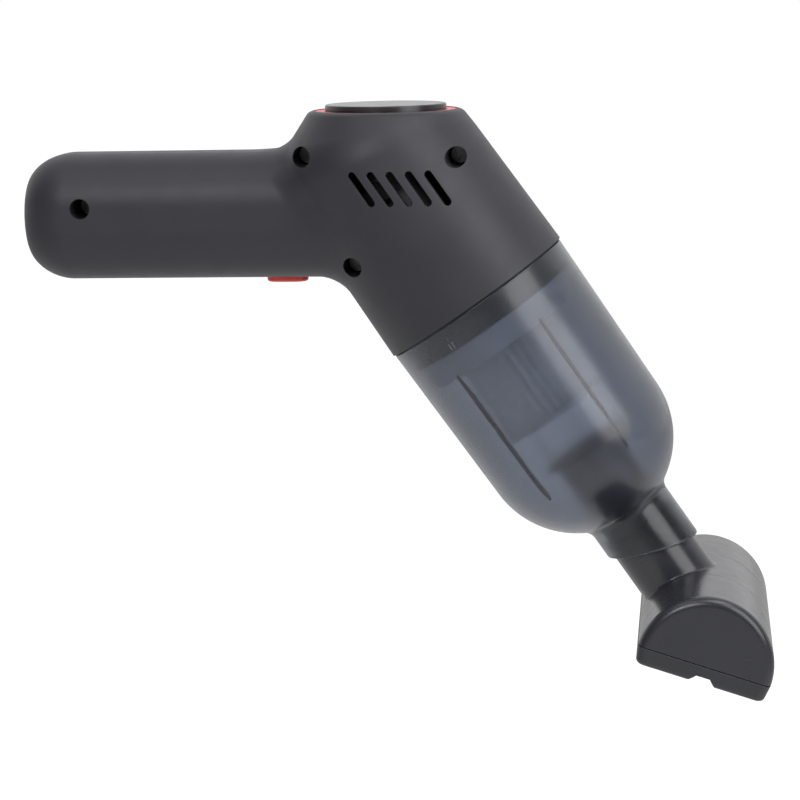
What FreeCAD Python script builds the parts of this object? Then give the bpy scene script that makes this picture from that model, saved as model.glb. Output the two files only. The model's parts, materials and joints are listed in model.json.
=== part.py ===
import FreeCAD, Part
import math
import os

# Cordless handheld vacuum. Units are millimetres, +Z is up.
# The origin is the centre of the grip: the handle runs along X, the nozzle is towards +X
# and down, and the XZ plane is the plane of symmetry.
# Places along the barrel are given as (s, u): s runs down the barrel's axis from the seam
# between housing and dust cup, and u is across it, in the XZ plane, up and forward positive.

# ---- clearances ----
RUNNING_FIT = 0.06       # radial, a shaft or sleeve that turns
SLIDING_GAP = 0.3        # between bodies that pass each other
SEAT_GAP = 0.1           # between pieces that sit in the same body
PRESS_GAP = 0.02         # between a pressed piece and its seat
LAP = 0.5                # how far pieces of one solid run into each other

# ---- handle ----
HANDLE_HEIGHT = 41.4
HANDLE_WIDTH = 42.0
HANDLE_ROUNDING = 16.0   # radius along the long edges
HANDLE_REAR = -42.2      # x of the rear face
REAR_BULGE = 50.0        # radius of the rear face
REAR_ROUNDING = 10.0     # radius round the rear face
HANDLE_OVERLAP = 36.0    # from the handle's end, inside the barrel, to the seam, along X

# ---- barrel and turret ----
TILT = 55.34             # barrel axis below the horizontal, degrees
SEAM_X = 107.0
SEAM_Z = -28.15
HANDLE_END = SEAM_X - HANDLE_OVERLAP
BARREL_RADIUS = 33.5     # at the seam
BARREL_TAPER = 0.0225    # loss of radius per millimetre, upwards
BARREL_LENGTH = 130.0    # before the turret trims it
WALL = 2.2
TURRET_SETBACK = 28.7    # from the turret's axis to the seam, along X
TURRET_X = SEAM_X - TURRET_SETBACK
TURRET_TOP = 33.55
TURRET_RADIUS = 25.0     # at the top rim
TURRET_SLOPE = 52.0      # of its side, degrees from the horizontal
TURRET_ROUNDING = 3.0
TURRET_WALL = 3.4        # thickness of the turret's top

# ---- vents: slots parallel to the barrel ----
VENT_COUNT = 5
VENT_PITCH = 6.0
VENT_LENGTH = 14.0
VENT_WIDTH = 2.1
VENT_SETBACK = 33.2      # from the centre of the rearmost slot to the seam, along X
VENT_FIRST_X = SEAM_X - VENT_SETBACK
VENT_Z = 9.95
VENT_DEPTH = 22.0        # y where each slot starts, inside the wall

# ---- housing screws ----
HANDLE_SCREW_GAP = 7.4   # from the battery's rear end to the rear screw, along X
HANDLE_SCREW_Z = 3.65
TOP_SCREW_BACK = 53.6    # distance behind the seam, along X
TOP_SCREW_Z = 19.65
FRONT_SCREW_BACK = 4.0
FRONT_SCREW_Z = 19.15
LOW_SCREW_BACK = 38.0
LOW_SCREW_Z = -15.85
SCREW_RECESS = 3.3       # radius of the recess over each head
SCREW_HEAD = 2.8
SCREW_HEAD_HEIGHT = 2.0
SCREW_SHANK = 1.4
PILOT_SPARE = 1.0        # depth of each hole past the screw's end
SCREW_GRIP = 5.0         # plastic under each head
SCREW_LENGTH = 14.0
BOSS_WALL = 1.3

# ---- trim ring and top disc ----
RING_MARGIN = 1.8        # from the ring to the turret's rim
RING_RADIUS = TURRET_RADIUS - RING_MARGIN
RING_DROP = 0.25         # from the turret's top down to the ring's
RING_DEPTH = 1.3         # recess that it lies in
RING_SLEEVE = 15.0       # radius of the sleeve through the turret's top
RING_SLEEVE_LENGTH = 4.0
RING_WALL = 1.6
RING_WIDTH = 3.4         # the ring's width and the gap inside it
DISC_RADIUS = RING_RADIUS - RING_WIDTH
DISC_THICKNESS = 2.1
DISC_GAP = 0.3           # gap under the disc
DISC_CHAMFER = 0.3
DISC_STEM = 4.0
DISC_STEM_LENGTH = 5.2
CLIP_RADIUS = 8.0
CLIP_THICKNESS = 0.8

# ---- button and switch ----
BUTTON_X = 44.55
BUTTON_LENGTH = 13.7
BUTTON_WIDTH = 8.0
BUTTON_PROUD = 1.85
BUTTON_ROUNDING = 0.8
BUTTON_FLANGE = 1.4      # width of the flange that keeps it in
BUTTON_FLANGE_HEIGHT = 1.2
BUTTON_TRAVEL = 1.3
PLUNGER_RADIUS = 1.5
PLUNGER_IN_SWITCH = 1.2  # length of plunger inside the switch at rest
SWITCH_SIDE = 7.0
SWITCH_HEIGHT = 4.2
BOARD_THICKNESS = 1.6
SWITCH_BOARD_LENGTH = 18.0
SWITCH_BOARD_WIDTH = 14.0
POST_SIDE = 2.2

# ---- control board ----
CONTROL_SETBACK = 50.0   # from the board to the seam, along X
CONTROL_X = SEAM_X - CONTROL_SETBACK
CONTROL_WIDTH = 26.0
CONTROL_BOTTOM = -10.0
CONTROL_TOP = 13.2
CHIP_SIDE = 9.0
CHIP_HEIGHT = 2.2
CAPACITOR_RADIUS = 3.2
CAPACITOR_LENGTH = 6.5
PART_MARGIN = 1.5        # from the board's top and bottom edges

# ---- battery ----
CELL_GAP = 0.5           # between the two cells
CELL_CLEARANCE = 0.15    # between each cell and the handle's wall
CELL_RADIUS = (HANDLE_WIDTH / 2 - WALL - CELL_CLEARANCE - CELL_GAP / 2) / 2
CELL_SPACING = 2 * CELL_RADIUS + CELL_GAP
CELL_LENGTH = 65.0
CELL_ROUNDING = 0.6
CELL_BUTTON_RADIUS = 3.0
CELL_BUTTON_HEIGHT = 0.6
TAB_THICKNESS = 0.3
TAB_WIDTH = 8.0
BATTERY_SPACE = 3.7      # from the front tab to the control board
CELL_REAR_X = CONTROL_X - BATTERY_SPACE - TAB_THICKNESS - CELL_BUTTON_HEIGHT - CELL_LENGTH
FRAME_THICKNESS = 4.5
FRAME_MARGIN = 1.4       # height of each frame above and below the cells
FRAME_GAP = 1.0          # from the switch's board up to the frames
FRAME_INSET = 4.0        # distance of each frame from the cell's end
SCREW_PLACES = [
    (CELL_REAR_X - HANDLE_SCREW_GAP, HANDLE_SCREW_Z),
    (SEAM_X - TOP_SCREW_BACK, TOP_SCREW_Z),
    (SEAM_X - FRONT_SCREW_BACK, FRONT_SCREW_Z),
    (SEAM_X - LOW_SCREW_BACK, LOW_SCREW_Z),
]

# ---- charge port ----
PORT_WIDTH = 8.9
PORT_HEIGHT = 3.3
PORT_LENGTH = 7.4
PORT_SETBACK = 0.6
PORT_CLEARANCE = 0.25
PORT_WALL = 0.35
PORT_BACK = 1.5          # thickness of the port's closed end
TONGUE_WIDTH = 6.4
TONGUE_THICKNESS = 0.7
TONGUE_SETBACK = 1.0     # from the port's mouth
CHARGE_BOARD_LENGTH = 15.0
CHARGE_BOARD_WIDTH = 17.0
CHARGE_BOARD_OVERLAP = 4.6   # length of board under the port
SLOT_DEPTH = 1.2         # depth of the slots that hold each board's edges
SLOT_WALL = 2.0

# ---- dust cup ----
CUP_START = 0.4          # gap at the seam
SEAM_STEP = 0.5          # the cup is narrower than the housing by this much all round
CUP_RADIUS = BARREL_RADIUS - SEAM_STEP
CUP_TAPER = 1.1          # loss of radius from the mouth to the dome
CUP_END_RADIUS = CUP_RADIUS - CUP_TAPER
CUP_STRAIGHT = 57.0
CUP_WALL = 1.8
DOME_SPACE = 1.7         # from the dome's top to the neck's socket
SOCKET_START = CUP_STRAIGHT + CUP_END_RADIUS + DOME_SPACE
SOCKET_DEPTH = 10.2      # along the axis, to the slanted mouth
NECK_END = SOCKET_START + SOCKET_DEPTH
NECK_SLANT = 19.3        # of the mouth, degrees from square
NECK_FILLET = 4.5
NECK_WALL = 1.74
RIB_START = 15.8
RIB_RUNOUT = 9.0         # how far each rib runs on past the start of the dome
RIB_END = CUP_STRAIGHT + RIB_RUNOUT
RIB_DEPTH = 1.2
RIB_WIDTH = 0.9
RIB_ANGLE = 31.0         # from the side of the cup, degrees

# ---- coupling ring, at the mouth of the housing ----
SPIGOT_SPACE = 1.3       # between the spigot and the cup's wall, where the seal and lugs lie
SPIGOT_RADIUS = CUP_RADIUS - CUP_WALL - SPIGOT_SPACE
SPIGOT_WALL = 2.0
SPIGOT_LENGTH = 8.5      # how far it stands into the cup
FLANGE_START = -6.3
FLANGE_THICKNESS = 2.6
BULKHEAD = 1.6
STUB_RADIUS = 14.0       # the pipe that the filter plugs on
STUB_WALL = 1.8
STUB_SETBACK = 1.0       # from the stub's end to the filter's flange
GRILLE_BAR = 1.4
GRILLE_DEPTH = 2.4
LUG_HEIGHT = 1.0
LUG_COUNT = 3
LUG_ANGLE = 16.0         # width of each lug, degrees
LUG_REST = 20.0          # turn from the slots to the locked place, degrees
LUG_THICKNESS = 2.0
LUG_SETBACK = 0.3        # from the spigot's end
LUG_START = SPIGOT_LENGTH - LUG_SETBACK - LUG_THICKNESS
CAPTURE_RIB = 2.0        # thickness of the ribs that hold the flange

# ---- fan and motor ----
SHROUD_CLEARANCE = 2.7   # between the shroud and the barrel's wall
SHROUD_RADIUS = BARREL_RADIUS - WALL - SHROUD_CLEARANCE
SHROUD_WALL = 2.0
SHROUD_PLATE = 1.8
SHROUD_HOLES = 10
SHROUD_HOLE = 2.0
FAN_CLEARANCE = 2.6      # between the fan and the shroud
FAN_RADIUS = SHROUD_RADIUS - SHROUD_WALL - FAN_CLEARANCE
FAN_EYE = 11.0
FAN_PLATE = 1.0
FAN_SETBACK = 1.9        # from the coupling ring's flange
FAN_FRONT = FLANGE_START - FAN_SETBACK
FAN_HEIGHT = 8.0
FAN_SPACE = 3.4          # behind the fan, to the shroud's rear face
SHROUD_START = FAN_FRONT - FAN_HEIGHT - FAN_SPACE
FAN_HUB = 3.6
BLADE_START = 3.0        # from the hub
FAN_BLADES = 9
FAN_BLADE = 0.9
FAN_SWEEP = 38.0         # blade angle from the radius, degrees
MOTOR_RADIUS = 16.0
MOTOR_LENGTH = 31.0
MOTOR_WALL = 1.0
MOTOR_CAP = 2.0
CAP_MARGIN = 0.4         # the cap is narrower than the can by this much all round
MOTOR_REAR = SHROUD_START - MOTOR_LENGTH
MAGNET_THICKNESS = 2.6
MAGNET_ANGLE = 130.0
MAGNET_MARGIN = 5.5      # from each end of the can
AIR_GAP = 0.8            # between the magnets and the armature
ARMATURE_RADIUS = MOTOR_RADIUS - MOTOR_WALL - MAGNET_THICKNESS - AIR_GAP
ARMATURE_SETBACK = 8.6   # from the rear of the can
ARMATURE_CLEARANCE = 5.4 # from the front of the can
ARMATURE_START = MOTOR_REAR + ARMATURE_SETBACK
ARMATURE_END = SHROUD_START - ARMATURE_CLEARANCE
ARMATURE_SLOT_DEPTH = 3.0
ARMATURE_SLOT_WIDTH = 1.6
COMMUTATOR_RADIUS = 4.5
COMMUTATOR_LENGTH = 5.0
SHAFT_RADIUS = 1.5
SHAFT_REAR = 1.0         # length of shaft past the motor's cap
SHAFT_CLEARANCE = 0.5    # radial, where the shaft passes a wall
BUSH_RADIUS = 4.0
BUSH_LENGTH = 4.0
BUSH_COVER = 0.6         # thickness of the cap behind the rear bush
NOSE_WALL = 1.0          # round the front bush
MOTOR_SCREW_SPACING = 16.0
MOTOR_SCREW = 1.2
MOTOR_SCREW_HEAD = 2.1
MOTOR_SCREW_HEAD_HEIGHT = 1.1
MOTOR_SCREW_LENGTH = 4.0
TERMINAL_WIDTH = 2.8
TERMINAL_THICKNESS = 0.6
TERMINAL_LENGTH = 3.0
TERMINAL_SPACING = 18.0
MOUNT_WALL = 3.0         # rubber sleeve round the rear of the motor
MOUNT_SETBACK = 1.6      # from the rear of the can
MOUNT_START = MOTOR_REAR + MOUNT_SETBACK
MOUNT_LENGTH = 6.0
SADDLE_ANGLE = 90.0      # of each rib that holds the sleeve, about the side of the barrel

# ---- cup seal ----
SEAL_START = 1.0
SEAL_WIDTH = 1.9
SEAL_SEAT = 0.9          # depth of its groove in the spigot

# ---- filter ----
FILTER_SETBACK = 0.4     # from the spigot's end to the filter's skirt
FILTER_START = SPIGOT_LENGTH + FILTER_SETBACK
SKIRT_INSET = 1.6        # the skirt is narrower than the spigot by this much all round
FILTER_SKIRT = SPIGOT_RADIUS - SKIRT_INSET
FILTER_SKIRT_WALL = 1.4
FILTER_SKIRT_LENGTH = 8.1
FILTER_FLANGE_END = FILTER_START + FILTER_SKIRT_LENGTH
FILTER_FLANGE = 1.5
FILTER_SLEEVE_WALL = 1.8
STUB_LENGTH = FILTER_FLANGE_END - STUB_SETBACK
PLEAT_COUNT = 36
PLEAT_DEPTH = 3.6
PLEAT_CORE = 1.0
FILTER_RADIUS = STUB_RADIUS + PLEAT_CORE + PLEAT_DEPTH
PLEAT_LENGTH = 27.0
FILTER_END = FILTER_FLANGE_END + PLEAT_LENGTH
FILTER_CAP = 2.0
CAP_LAP = 0.6            # of the end cap past the pleats

# ---- inlet tube and flap ----
TUBE_RADIUS = 11.7
TUBE_WALL = 1.4
TUBE_LENGTH = 28.4
TUBE_START = SOCKET_START - TUBE_LENGTH
FLAP_LAP = 2.6           # of the flap past the tube
FLAP_RADIUS = TUBE_RADIUS + FLAP_LAP
FLAP_THICKNESS = 1.6
FLAP_PIN_INSET = 0.1     # from the flap's edge to its pin
FLAP_PIN_U = FLAP_RADIUS - FLAP_PIN_INSET
FLAP_PIN_RADIUS = 0.8
FLAP_PIN_LENGTH = 12.0
FLAP_KNUCKLE = 1.7       # radius of the flap's knuckle
FLAP_EAR = 2.2           # thickness of each ear on the tube
FLAP_EAR_ROOT = 3.0      # how far each ear reaches into the tube's edge
FLAP_EAR_LENGTH = 4.0    # along the tube
FLAP_EAR_SPACE = 1.0     # round the tube, where the ears are cut back for the flap

# ---- nozzle head ----
HEAD_TUBE_RADIUS = 12.7
NECK_RADIUS = HEAD_TUBE_RADIUS + RUNNING_FIT + NECK_WALL
SHOULDER_GAP = 0.8       # between the tube's shoulder and the bottom of the neck's socket
HEAD_SHOULDER = SOCKET_START + SHOULDER_GAP
HEAD_SPIGOT_LENGTH = 15.0
HEAD_SPIGOT_START = HEAD_SHOULDER - HEAD_SPIGOT_LENGTH
HEAD_SPIGOT_RADIUS = TUBE_RADIUS - TUBE_WALL - SLIDING_GAP
HEAD_SPIGOT_WALL = 1.6
HEAD_BORE = HEAD_SPIGOT_RADIUS - HEAD_SPIGOT_WALL
ORING_SETBACK = 1.6      # from the tube's shoulder
ORING_START = HEAD_SHOULDER + ORING_SETBACK
ORING_WIDTH = 2.0
ORING_DEPTH = 1.1
HEAD_DISTANCE = 33.19    # along the barrel's axis, from the neck's mouth to the head's joint
HEAD_U = -2.43           # of the centre of the joint between head and sole
HEAD_LEAN = 17.06        # of the head's upright from the barrel's axis, degrees
HEAD_WIDTH = 43.6
HEAD_HEIGHT = 22.0
HEAD_LENGTH = 96.0
HEAD_ROUNDING = 3.0
HEAD_WALL = 2.0
SOLE_GAP = 0.3           # dark line above the sole
SOLE_HEIGHT = 5.7
SOLE_LEAN = 0.9
SOLE_ROUNDING = 1.8
SOLE_LIP = 2.6           # height of the lip that stands into the head
SOLE_LIP_WALL = 1.6
LIP_CLEARANCE_X = 0.3    # between the lip and the head's wall
LIP_CLEARANCE_Y = 0.2
MOUTH_WIDTH = 15.0
MOUTH_INSET = 10.0       # from each end of the head
MOUTH_LENGTH = HEAD_LENGTH - 2 * MOUTH_INSET
CHANNEL_WIDTH = 8.9
CHANNEL_TOP = 4.4
CHANNEL_DEPTH = 2.4
CHANNEL_OFFSET = 0.6
STRIP_WIDTH = 4.0
STRIP_INSET = 8.0        # from each end of the head
STRIP_LENGTH = HEAD_LENGTH - 2 * STRIP_INSET
STRIP_DEPTH = 0.9
STRIP_PROUD = 0.35
STRIP_MARGIN = 7.2       # from the head's side to the middle of each strip
STRIP_OFFSET = HEAD_WIDTH / 2 - STRIP_MARGIN
SOLE_SCREW_MARGIN = 6.6  # from the head's side
SOLE_SCREW_INSET = 5.5   # from the head's end
SOLE_SCREW_X = HEAD_WIDTH / 2 - SOLE_SCREW_MARGIN
SOLE_SCREW_Y = HEAD_LENGTH / 2 - SOLE_SCREW_INSET
SOLE_BOSS = 2.6
SOLE_SCREW = 1.1
SOLE_SCREW_HEAD = 2.1
SOLE_SCREW_HEAD_HEIGHT = 1.4
SOLE_SCREW_SUNK = 0.6    # depth of each head in the sole
SOLE_SCREW_CLEARANCE = 0.2
SOLE_SCREW_SPARE = 0.5   # depth of each pilot hole past its screw
SOLE_SCREW_LENGTH = 8.0

# ---- frames ----
V = FreeCAD.Vector
UP = V(0, 0, 1)
ACROSS = V(0, 1, 0)
DOWN_BARREL = V(math.cos(math.radians(TILT)), 0, -math.sin(math.radians(TILT)))
OUT_BARREL = V(math.sin(math.radians(TILT)), 0, math.cos(math.radians(TILT)))
SEAM = V(SEAM_X, 0, SEAM_Z)
BARREL = FreeCAD.Placement(
    SEAM, FreeCAD.Rotation(OUT_BARREL, -ACROSS, DOWN_BARREL, "ZXY")
)
HEAD_S = NECK_END + HEAD_DISTANCE
HEAD_SLOPE = 90 - TILT - HEAD_LEAN   # of the sole, below the horizontal
HEAD = FreeCAD.Placement(
    SEAM + DOWN_BARREL * HEAD_S + OUT_BARREL * HEAD_U, FreeCAD.Rotation(ACROSS, HEAD_SLOPE)
)
FAR = 300.0              # larger than the object, for cutting solids
EPS = 0.01               # spare length of a cutting tool


def at(s, u, y=0.0):
    """The point at s along the barrel's axis and u across it."""
    return SEAM + DOWN_BARREL * s + OUT_BARREL * u + V(0, y, 0)


def placed(shape, frame):
    """The shape moved from a local frame into the part's frame."""
    moved = shape.copy()
    moved.Placement = frame.multiply(moved.Placement)
    return moved


def lathe(outline, frame=BARREL):
    """A closed outline of (radius, s) points turned about the barrel's axis."""
    points = [V(r, 0, s) for r, s in outline]
    wire = Part.makePolygon(points + [points[0]])
    return placed(Part.Face(wire).revolve(V(), UP, 360), frame)


def tube(inner, outer, start, end, frame=BARREL):
    """A coaxial tube, or a rod where inner is 0, from s = start to s = end."""
    solid = Part.makeCylinder(outer, end - start, V(0, 0, start))
    if inner > 0:
        solid = solid.cut(Part.makeCylinder(inner, end - start, V(0, 0, start)))
    return placed(solid, frame)


def box(x0, x1, y0, y1, z0, z1, frame=FreeCAD.Placement()):
    """A box between two corners of a frame."""
    return placed(Part.makeBox(x1 - x0, y1 - y0, z1 - z0, V(x0, y0, z0)), frame)


def rod_y(x, z, radius, y0, y1):
    """A cylinder along Y through (x, z)."""
    return Part.makeCylinder(radius, y1 - y0, V(x, y0, z), ACROSS)


def rod_z(x, y, radius, z0, z1, frame=FreeCAD.Placement()):
    """A cylinder along the Z axis of a frame."""
    return placed(Part.makeCylinder(radius, z1 - z0, V(x, y, z0)), frame)


def pill(length, width, height, centre, direction, up):
    """A bar with round ends: length along direction, height along up, from the centre of its base."""
    half = (length - width) / 2
    side = up.cross(direction)
    a, b = centre - direction * half, centre + direction * half
    r = width / 2
    edges = [
        Part.LineSegment(a + side * r, b + side * r).toShape(),
        Part.Arc(b + side * r, b + direction * r, b - side * r).toShape(),
        Part.LineSegment(b - side * r, a - side * r).toShape(),
        Part.Arc(a - side * r, a - direction * r, a + side * r).toShape(),
    ]
    return Part.Face(Part.Wire(edges)).extrude(up * height)


def sector(solid, centre_angle, width_angle, frame=BARREL):
    """The part of a coaxial solid inside a wedge of the given angle."""
    half = math.radians(width_angle / 2)
    reach = FAR / math.cos(half)
    points = [
        V(),
        V(reach * math.cos(half), -reach * math.sin(half), 0),
        V(reach * math.cos(half), reach * math.sin(half), 0),
        V(),
    ]
    wedge = Part.Face(Part.makePolygon(points)).extrude(V(0, 0, 2 * FAR))
    wedge.translate(V(0, 0, -FAR))
    wedge.rotate(V(), UP, centre_angle)
    return solid.common(placed(wedge, frame))


def joined(solids):
    """One shape fused from a list of solids."""
    whole = solids[0].multiFuse(solids[1:])
    return whole.removeSplitter()


def group(solids):
    """Separate solids in one shape."""
    return Part.makeCompound(solids)


# ---- the housing's outer and inner form ----
def handle_form(inset):
    """The handle, shrunk by inset on every side."""
    half_w = HANDLE_WIDTH / 2 - inset
    half_h = HANDLE_HEIGHT / 2 - inset
    rear = HANDLE_REAR + inset
    bar = box(rear, HANDLE_END, -half_w, half_w, -half_h, half_h)
    long_edges = [e for e in bar.Edges if abs(e.tangentAt(0).x) > 0.99]
    bar = bar.makeFillet(HANDLE_ROUNDING - inset, long_edges)
    bulge = REAR_BULGE - inset
    rear_face = Part.makeSphere(bulge, V(rear + bulge, 0, 0))
    front = box(rear + bulge / 2, FAR, -FAR, FAR, -FAR, FAR)
    bar = bar.common(joined([rear_face, front]))
    end = rear + bulge - math.sqrt(bulge ** 2 - half_h ** 2 - half_w ** 2)
    rim = [e for e in bar.Edges if e.BoundBox.XMax < end + 0.1]
    return bar.makeFillet(REAR_ROUNDING - inset, rim)


def turret_form(inset):
    """The cone that trims the top of the barrel, shrunk by inset."""
    slope = math.radians(TURRET_SLOPE)
    top = TURRET_TOP - (TURRET_WALL if inset else 0)
    drop = TURRET_TOP - top
    radius = TURRET_RADIUS - inset / math.sin(slope) + drop / math.tan(slope)
    base = radius + BARREL_LENGTH / math.tan(slope)
    cone = Part.makeCone(base, radius, BARREL_LENGTH, V(TURRET_X, 0, top - BARREL_LENGTH))
    rim = [e for e in cone.Edges if e.BoundBox.ZMin > top - 0.1]
    return cone.makeFillet(TURRET_ROUNDING, rim)


def barrel_radius(s):
    """Outer radius of the housing's barrel at s."""
    return BARREL_RADIUS + BARREL_TAPER * s


def housing_form(inset, end):
    """Handle, barrel and turret in one solid, shrunk by inset, with the barrel's mouth at s = end."""
    top = barrel_radius(-BARREL_LENGTH) - inset
    mouth = barrel_radius(end) - inset
    barrel = lathe([(0, -BARREL_LENGTH), (top, -BARREL_LENGTH), (mouth, end), (0, end)])
    return handle_form(inset).fuse(barrel.common(turret_form(inset)))


def half_space(side):
    """Everything on one side of the plane of symmetry."""
    y0, y1 = (-FAR, 0) if side < 0 else (0, FAR)
    return box(-FAR, FAR, y0, y1, -FAR, FAR)


# ---- the housing's inner features ----
def capture_ribs():
    """The two rings that hold the coupling ring's flange."""
    behind = tube(
        SHROUD_RADIUS + SEAT_GAP * 3,
        BARREL_RADIUS,
        FLANGE_START - SEAT_GAP - CAPTURE_RIB,
        FLANGE_START - SEAT_GAP,
    )
    front = FLANGE_START + FLANGE_THICKNESS + SEAT_GAP
    ahead = tube(SPIGOT_RADIUS + SEAT_GAP, BARREL_RADIUS, front, front + CAPTURE_RIB)
    return [behind, ahead]


def shroud_rib():
    """The ring that the fan shroud's rear edge rests on."""
    return tube(
        SHROUD_RADIUS - SHROUD_WALL,
        BARREL_RADIUS,
        SHROUD_START - CAPTURE_RIB,
        SHROUD_START,
    )


def motor_saddle():
    """Ribs on the side walls that hold the motor's rubber sleeve; air passes above and below."""
    middle = MOUNT_START + MOUNT_LENGTH / 2
    ring = tube(
        MOTOR_RADIUS + MOUNT_WALL + SEAT_GAP,
        BARREL_RADIUS,
        middle - CAPTURE_RIB / 2,
        middle + CAPTURE_RIB / 2,
    )
    return [sector(ring, side, SADDLE_ANGLE) for side in (90, 270)]


def board_slots():
    """Blocks on the side walls with slots for the edges of the two edge-held boards."""
    slot = BOARD_THICKNESS + 2 * SEAT_GAP
    charge_edge = CHARGE_BOARD_WIDTH / 2
    charge_x = charge_board_rear() + CHARGE_BOARD_LENGTH / 2
    charge_z = -PORT_HEIGHT / 2 - BOARD_THICKNESS / 2
    half = CHARGE_BOARD_LENGTH / 3
    control_edge = CONTROL_WIDTH / 2
    middle = (CONTROL_BOTTOM + CONTROL_TOP) / 2
    reach = (CONTROL_TOP - CONTROL_BOTTOM) / 3
    blocks = []
    for side in (-1, 1):
        def across(y0, y1):
            return sorted((side * y0, side * y1))

        y0, y1 = across(charge_edge - SLOT_DEPTH, HANDLE_WIDTH / 2)
        thick = slot / 2 + SLOT_WALL
        block = box(charge_x - half, charge_x + half, y0, y1, charge_z - thick, charge_z + thick)
        y0, y1 = across(charge_edge - 2 * SLOT_DEPTH, charge_edge + SEAT_GAP)
        blocks.append(
            block.cut(box(-FAR, FAR, y0, y1, charge_z - slot / 2, charge_z + slot / 2))
        )
        x = CONTROL_X + BOARD_THICKNESS / 2
        y0, y1 = across(control_edge - SLOT_DEPTH, HANDLE_WIDTH / 2)
        block = box(x - thick, x + thick, y0, y1, middle - reach, middle + reach)
        y0, y1 = across(control_edge - 2 * SLOT_DEPTH, control_edge + SEAT_GAP)
        blocks.append(block.cut(box(x - slot / 2, x + slot / 2, y0, y1, -FAR, FAR)))
    return blocks


def switch_posts():
    """Four posts that carry the switch's board."""
    posts = []
    for dx in (-1, 1):
        for side in (-1, 1):
            x = BUTTON_X + dx * (SWITCH_BOARD_LENGTH - POST_SIDE) / 2
            y = side * (SWITCH_BOARD_WIDTH - POST_SIDE) / 2
            half = POST_SIDE / 2
            posts.append(
                box(x - half, x + half, y - half, y + half, -HANDLE_HEIGHT / 2, switch_board_z())
            )
    return posts


def screw_boss(x, z, side):
    """A boss round one housing screw, on the side of the head (-1) or of the thread (1)."""
    if side < 0:
        return rod_y(x, z, SCREW_RECESS + BOSS_WALL, -FAR, -SEAT_GAP / 2)
    return rod_y(x, z, SCREW_SHANK + 2 * BOSS_WALL, SEAT_GAP / 2, FAR)


def screw_holes(x, z):
    """The recess, the clearance hole and the pilot hole of one housing screw."""
    recess = rod_y(x, z, SCREW_RECESS, -FAR, -SCREW_GRIP)
    clearance = rod_y(x, z, SCREW_SHANK + SEAT_GAP, -SCREW_GRIP - LAP, 0)
    end = SCREW_LENGTH - SCREW_GRIP + PILOT_SPARE
    pilot = rod_y(x, z, SCREW_SHANK + RUNNING_FIT / 2, -LAP, end)
    return [recess, clearance, pilot]


def vent_slots():
    """The row of slots on each side of the barrel."""
    slots = []
    for side in (-1, 1):
        for i in range(VENT_COUNT):
            centre = V(VENT_FIRST_X + i * VENT_PITCH, side * VENT_DEPTH, VENT_Z)
            slots.append(
                pill(VENT_LENGTH, VENT_WIDTH, FAR, centre, DOWN_BARREL, ACROSS * side)
            )
    return slots


def button_hole():
    """The opening for the button in the handle's underside."""
    base = V(BUTTON_X, 0, -FAR)
    gap = 2 * SLIDING_GAP
    height = FAR - HANDLE_HEIGHT / 2 + 2 * WALL
    return pill(BUTTON_LENGTH + gap, BUTTON_WIDTH + gap, height, base, V(1, 0, 0), UP)


def port_hole():
    """The opening for the charging port in the handle's rear face."""
    base = V(HANDLE_REAR - LAP, 0, 0)
    gap = 2 * PORT_CLEARANCE
    return pill(PORT_WIDTH + gap, PORT_HEIGHT + gap, 2 * WALL + LAP, base, ACROSS, V(1, 0, 0))


def ring_seat():
    """The recess and hole for the trim ring in the turret's top."""
    recess = rod_z(
        TURRET_X, 0, RING_RADIUS + SEAT_GAP, TURRET_TOP - RING_DEPTH, TURRET_TOP + FAR
    )
    hole = rod_z(TURRET_X, 0, RING_SLEEVE + SEAT_GAP, 0, TURRET_TOP)
    return [recess, hole]


def shell(side):
    """One half of the housing: side -1 is the right one, which the screws enter."""
    outer = housing_form(0, 0)
    wall = outer.cut(housing_form(WALL, 1))
    features = capture_ribs() + [shroud_rib()] + motor_saddle() + board_slots()
    features += switch_posts() + [screw_boss(x, z, side) for x, z in SCREW_PLACES]
    inside = [f.common(outer) for f in features]
    body = wall.multiFuse(inside)
    cuts = vent_slots() + [button_hole(), port_hole()] + ring_seat()
    for x, z in SCREW_PLACES:
        cuts += screw_holes(x, z)
    cuts.append(tube(0, MOTOR_RADIUS + MOUNT_WALL + SEAT_GAP, -BARREL_LENGTH / 2, SHROUD_START))
    return body.common(half_space(side)).cut(Part.makeCompound(cuts))


def housing_screws():
    """Four self-tapping screws along Y."""
    screws = []
    for x, z in SCREW_PLACES:
        head = rod_y(x, z, SCREW_HEAD, -SCREW_GRIP - SCREW_HEAD_HEIGHT, -SCREW_GRIP)
        shank = rod_y(x, z, SCREW_SHANK, -SCREW_GRIP, SCREW_LENGTH - SCREW_GRIP)
        screws.append(joined([head, shank]))
    return group(screws)


# ---- trim ring and disc ----
def disc_bottom():
    return TURRET_TOP - DISC_GAP


def trim_ring():
    """The ring round the disc, with a floor under the disc and a sleeve through the turret."""
    floor = disc_bottom() - SEAT_GAP
    base = TURRET_TOP - RING_DEPTH
    ring = rod_z(TURRET_X, 0, RING_RADIUS, base, TURRET_TOP - RING_DROP)
    ring = ring.cut(rod_z(TURRET_X, 0, DISC_RADIUS + SLIDING_GAP, floor, FAR))
    sleeve = rod_z(TURRET_X, 0, RING_SLEEVE, base - RING_SLEEVE_LENGTH, base)
    bore = rod_z(TURRET_X, 0, RING_SLEEVE - RING_WALL, base - RING_SLEEVE_LENGTH, base)
    stem = rod_z(TURRET_X, 0, DISC_STEM + RUNNING_FIT, 0, FAR)
    return joined([ring, sleeve.cut(bore)]).cut(stem)


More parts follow.
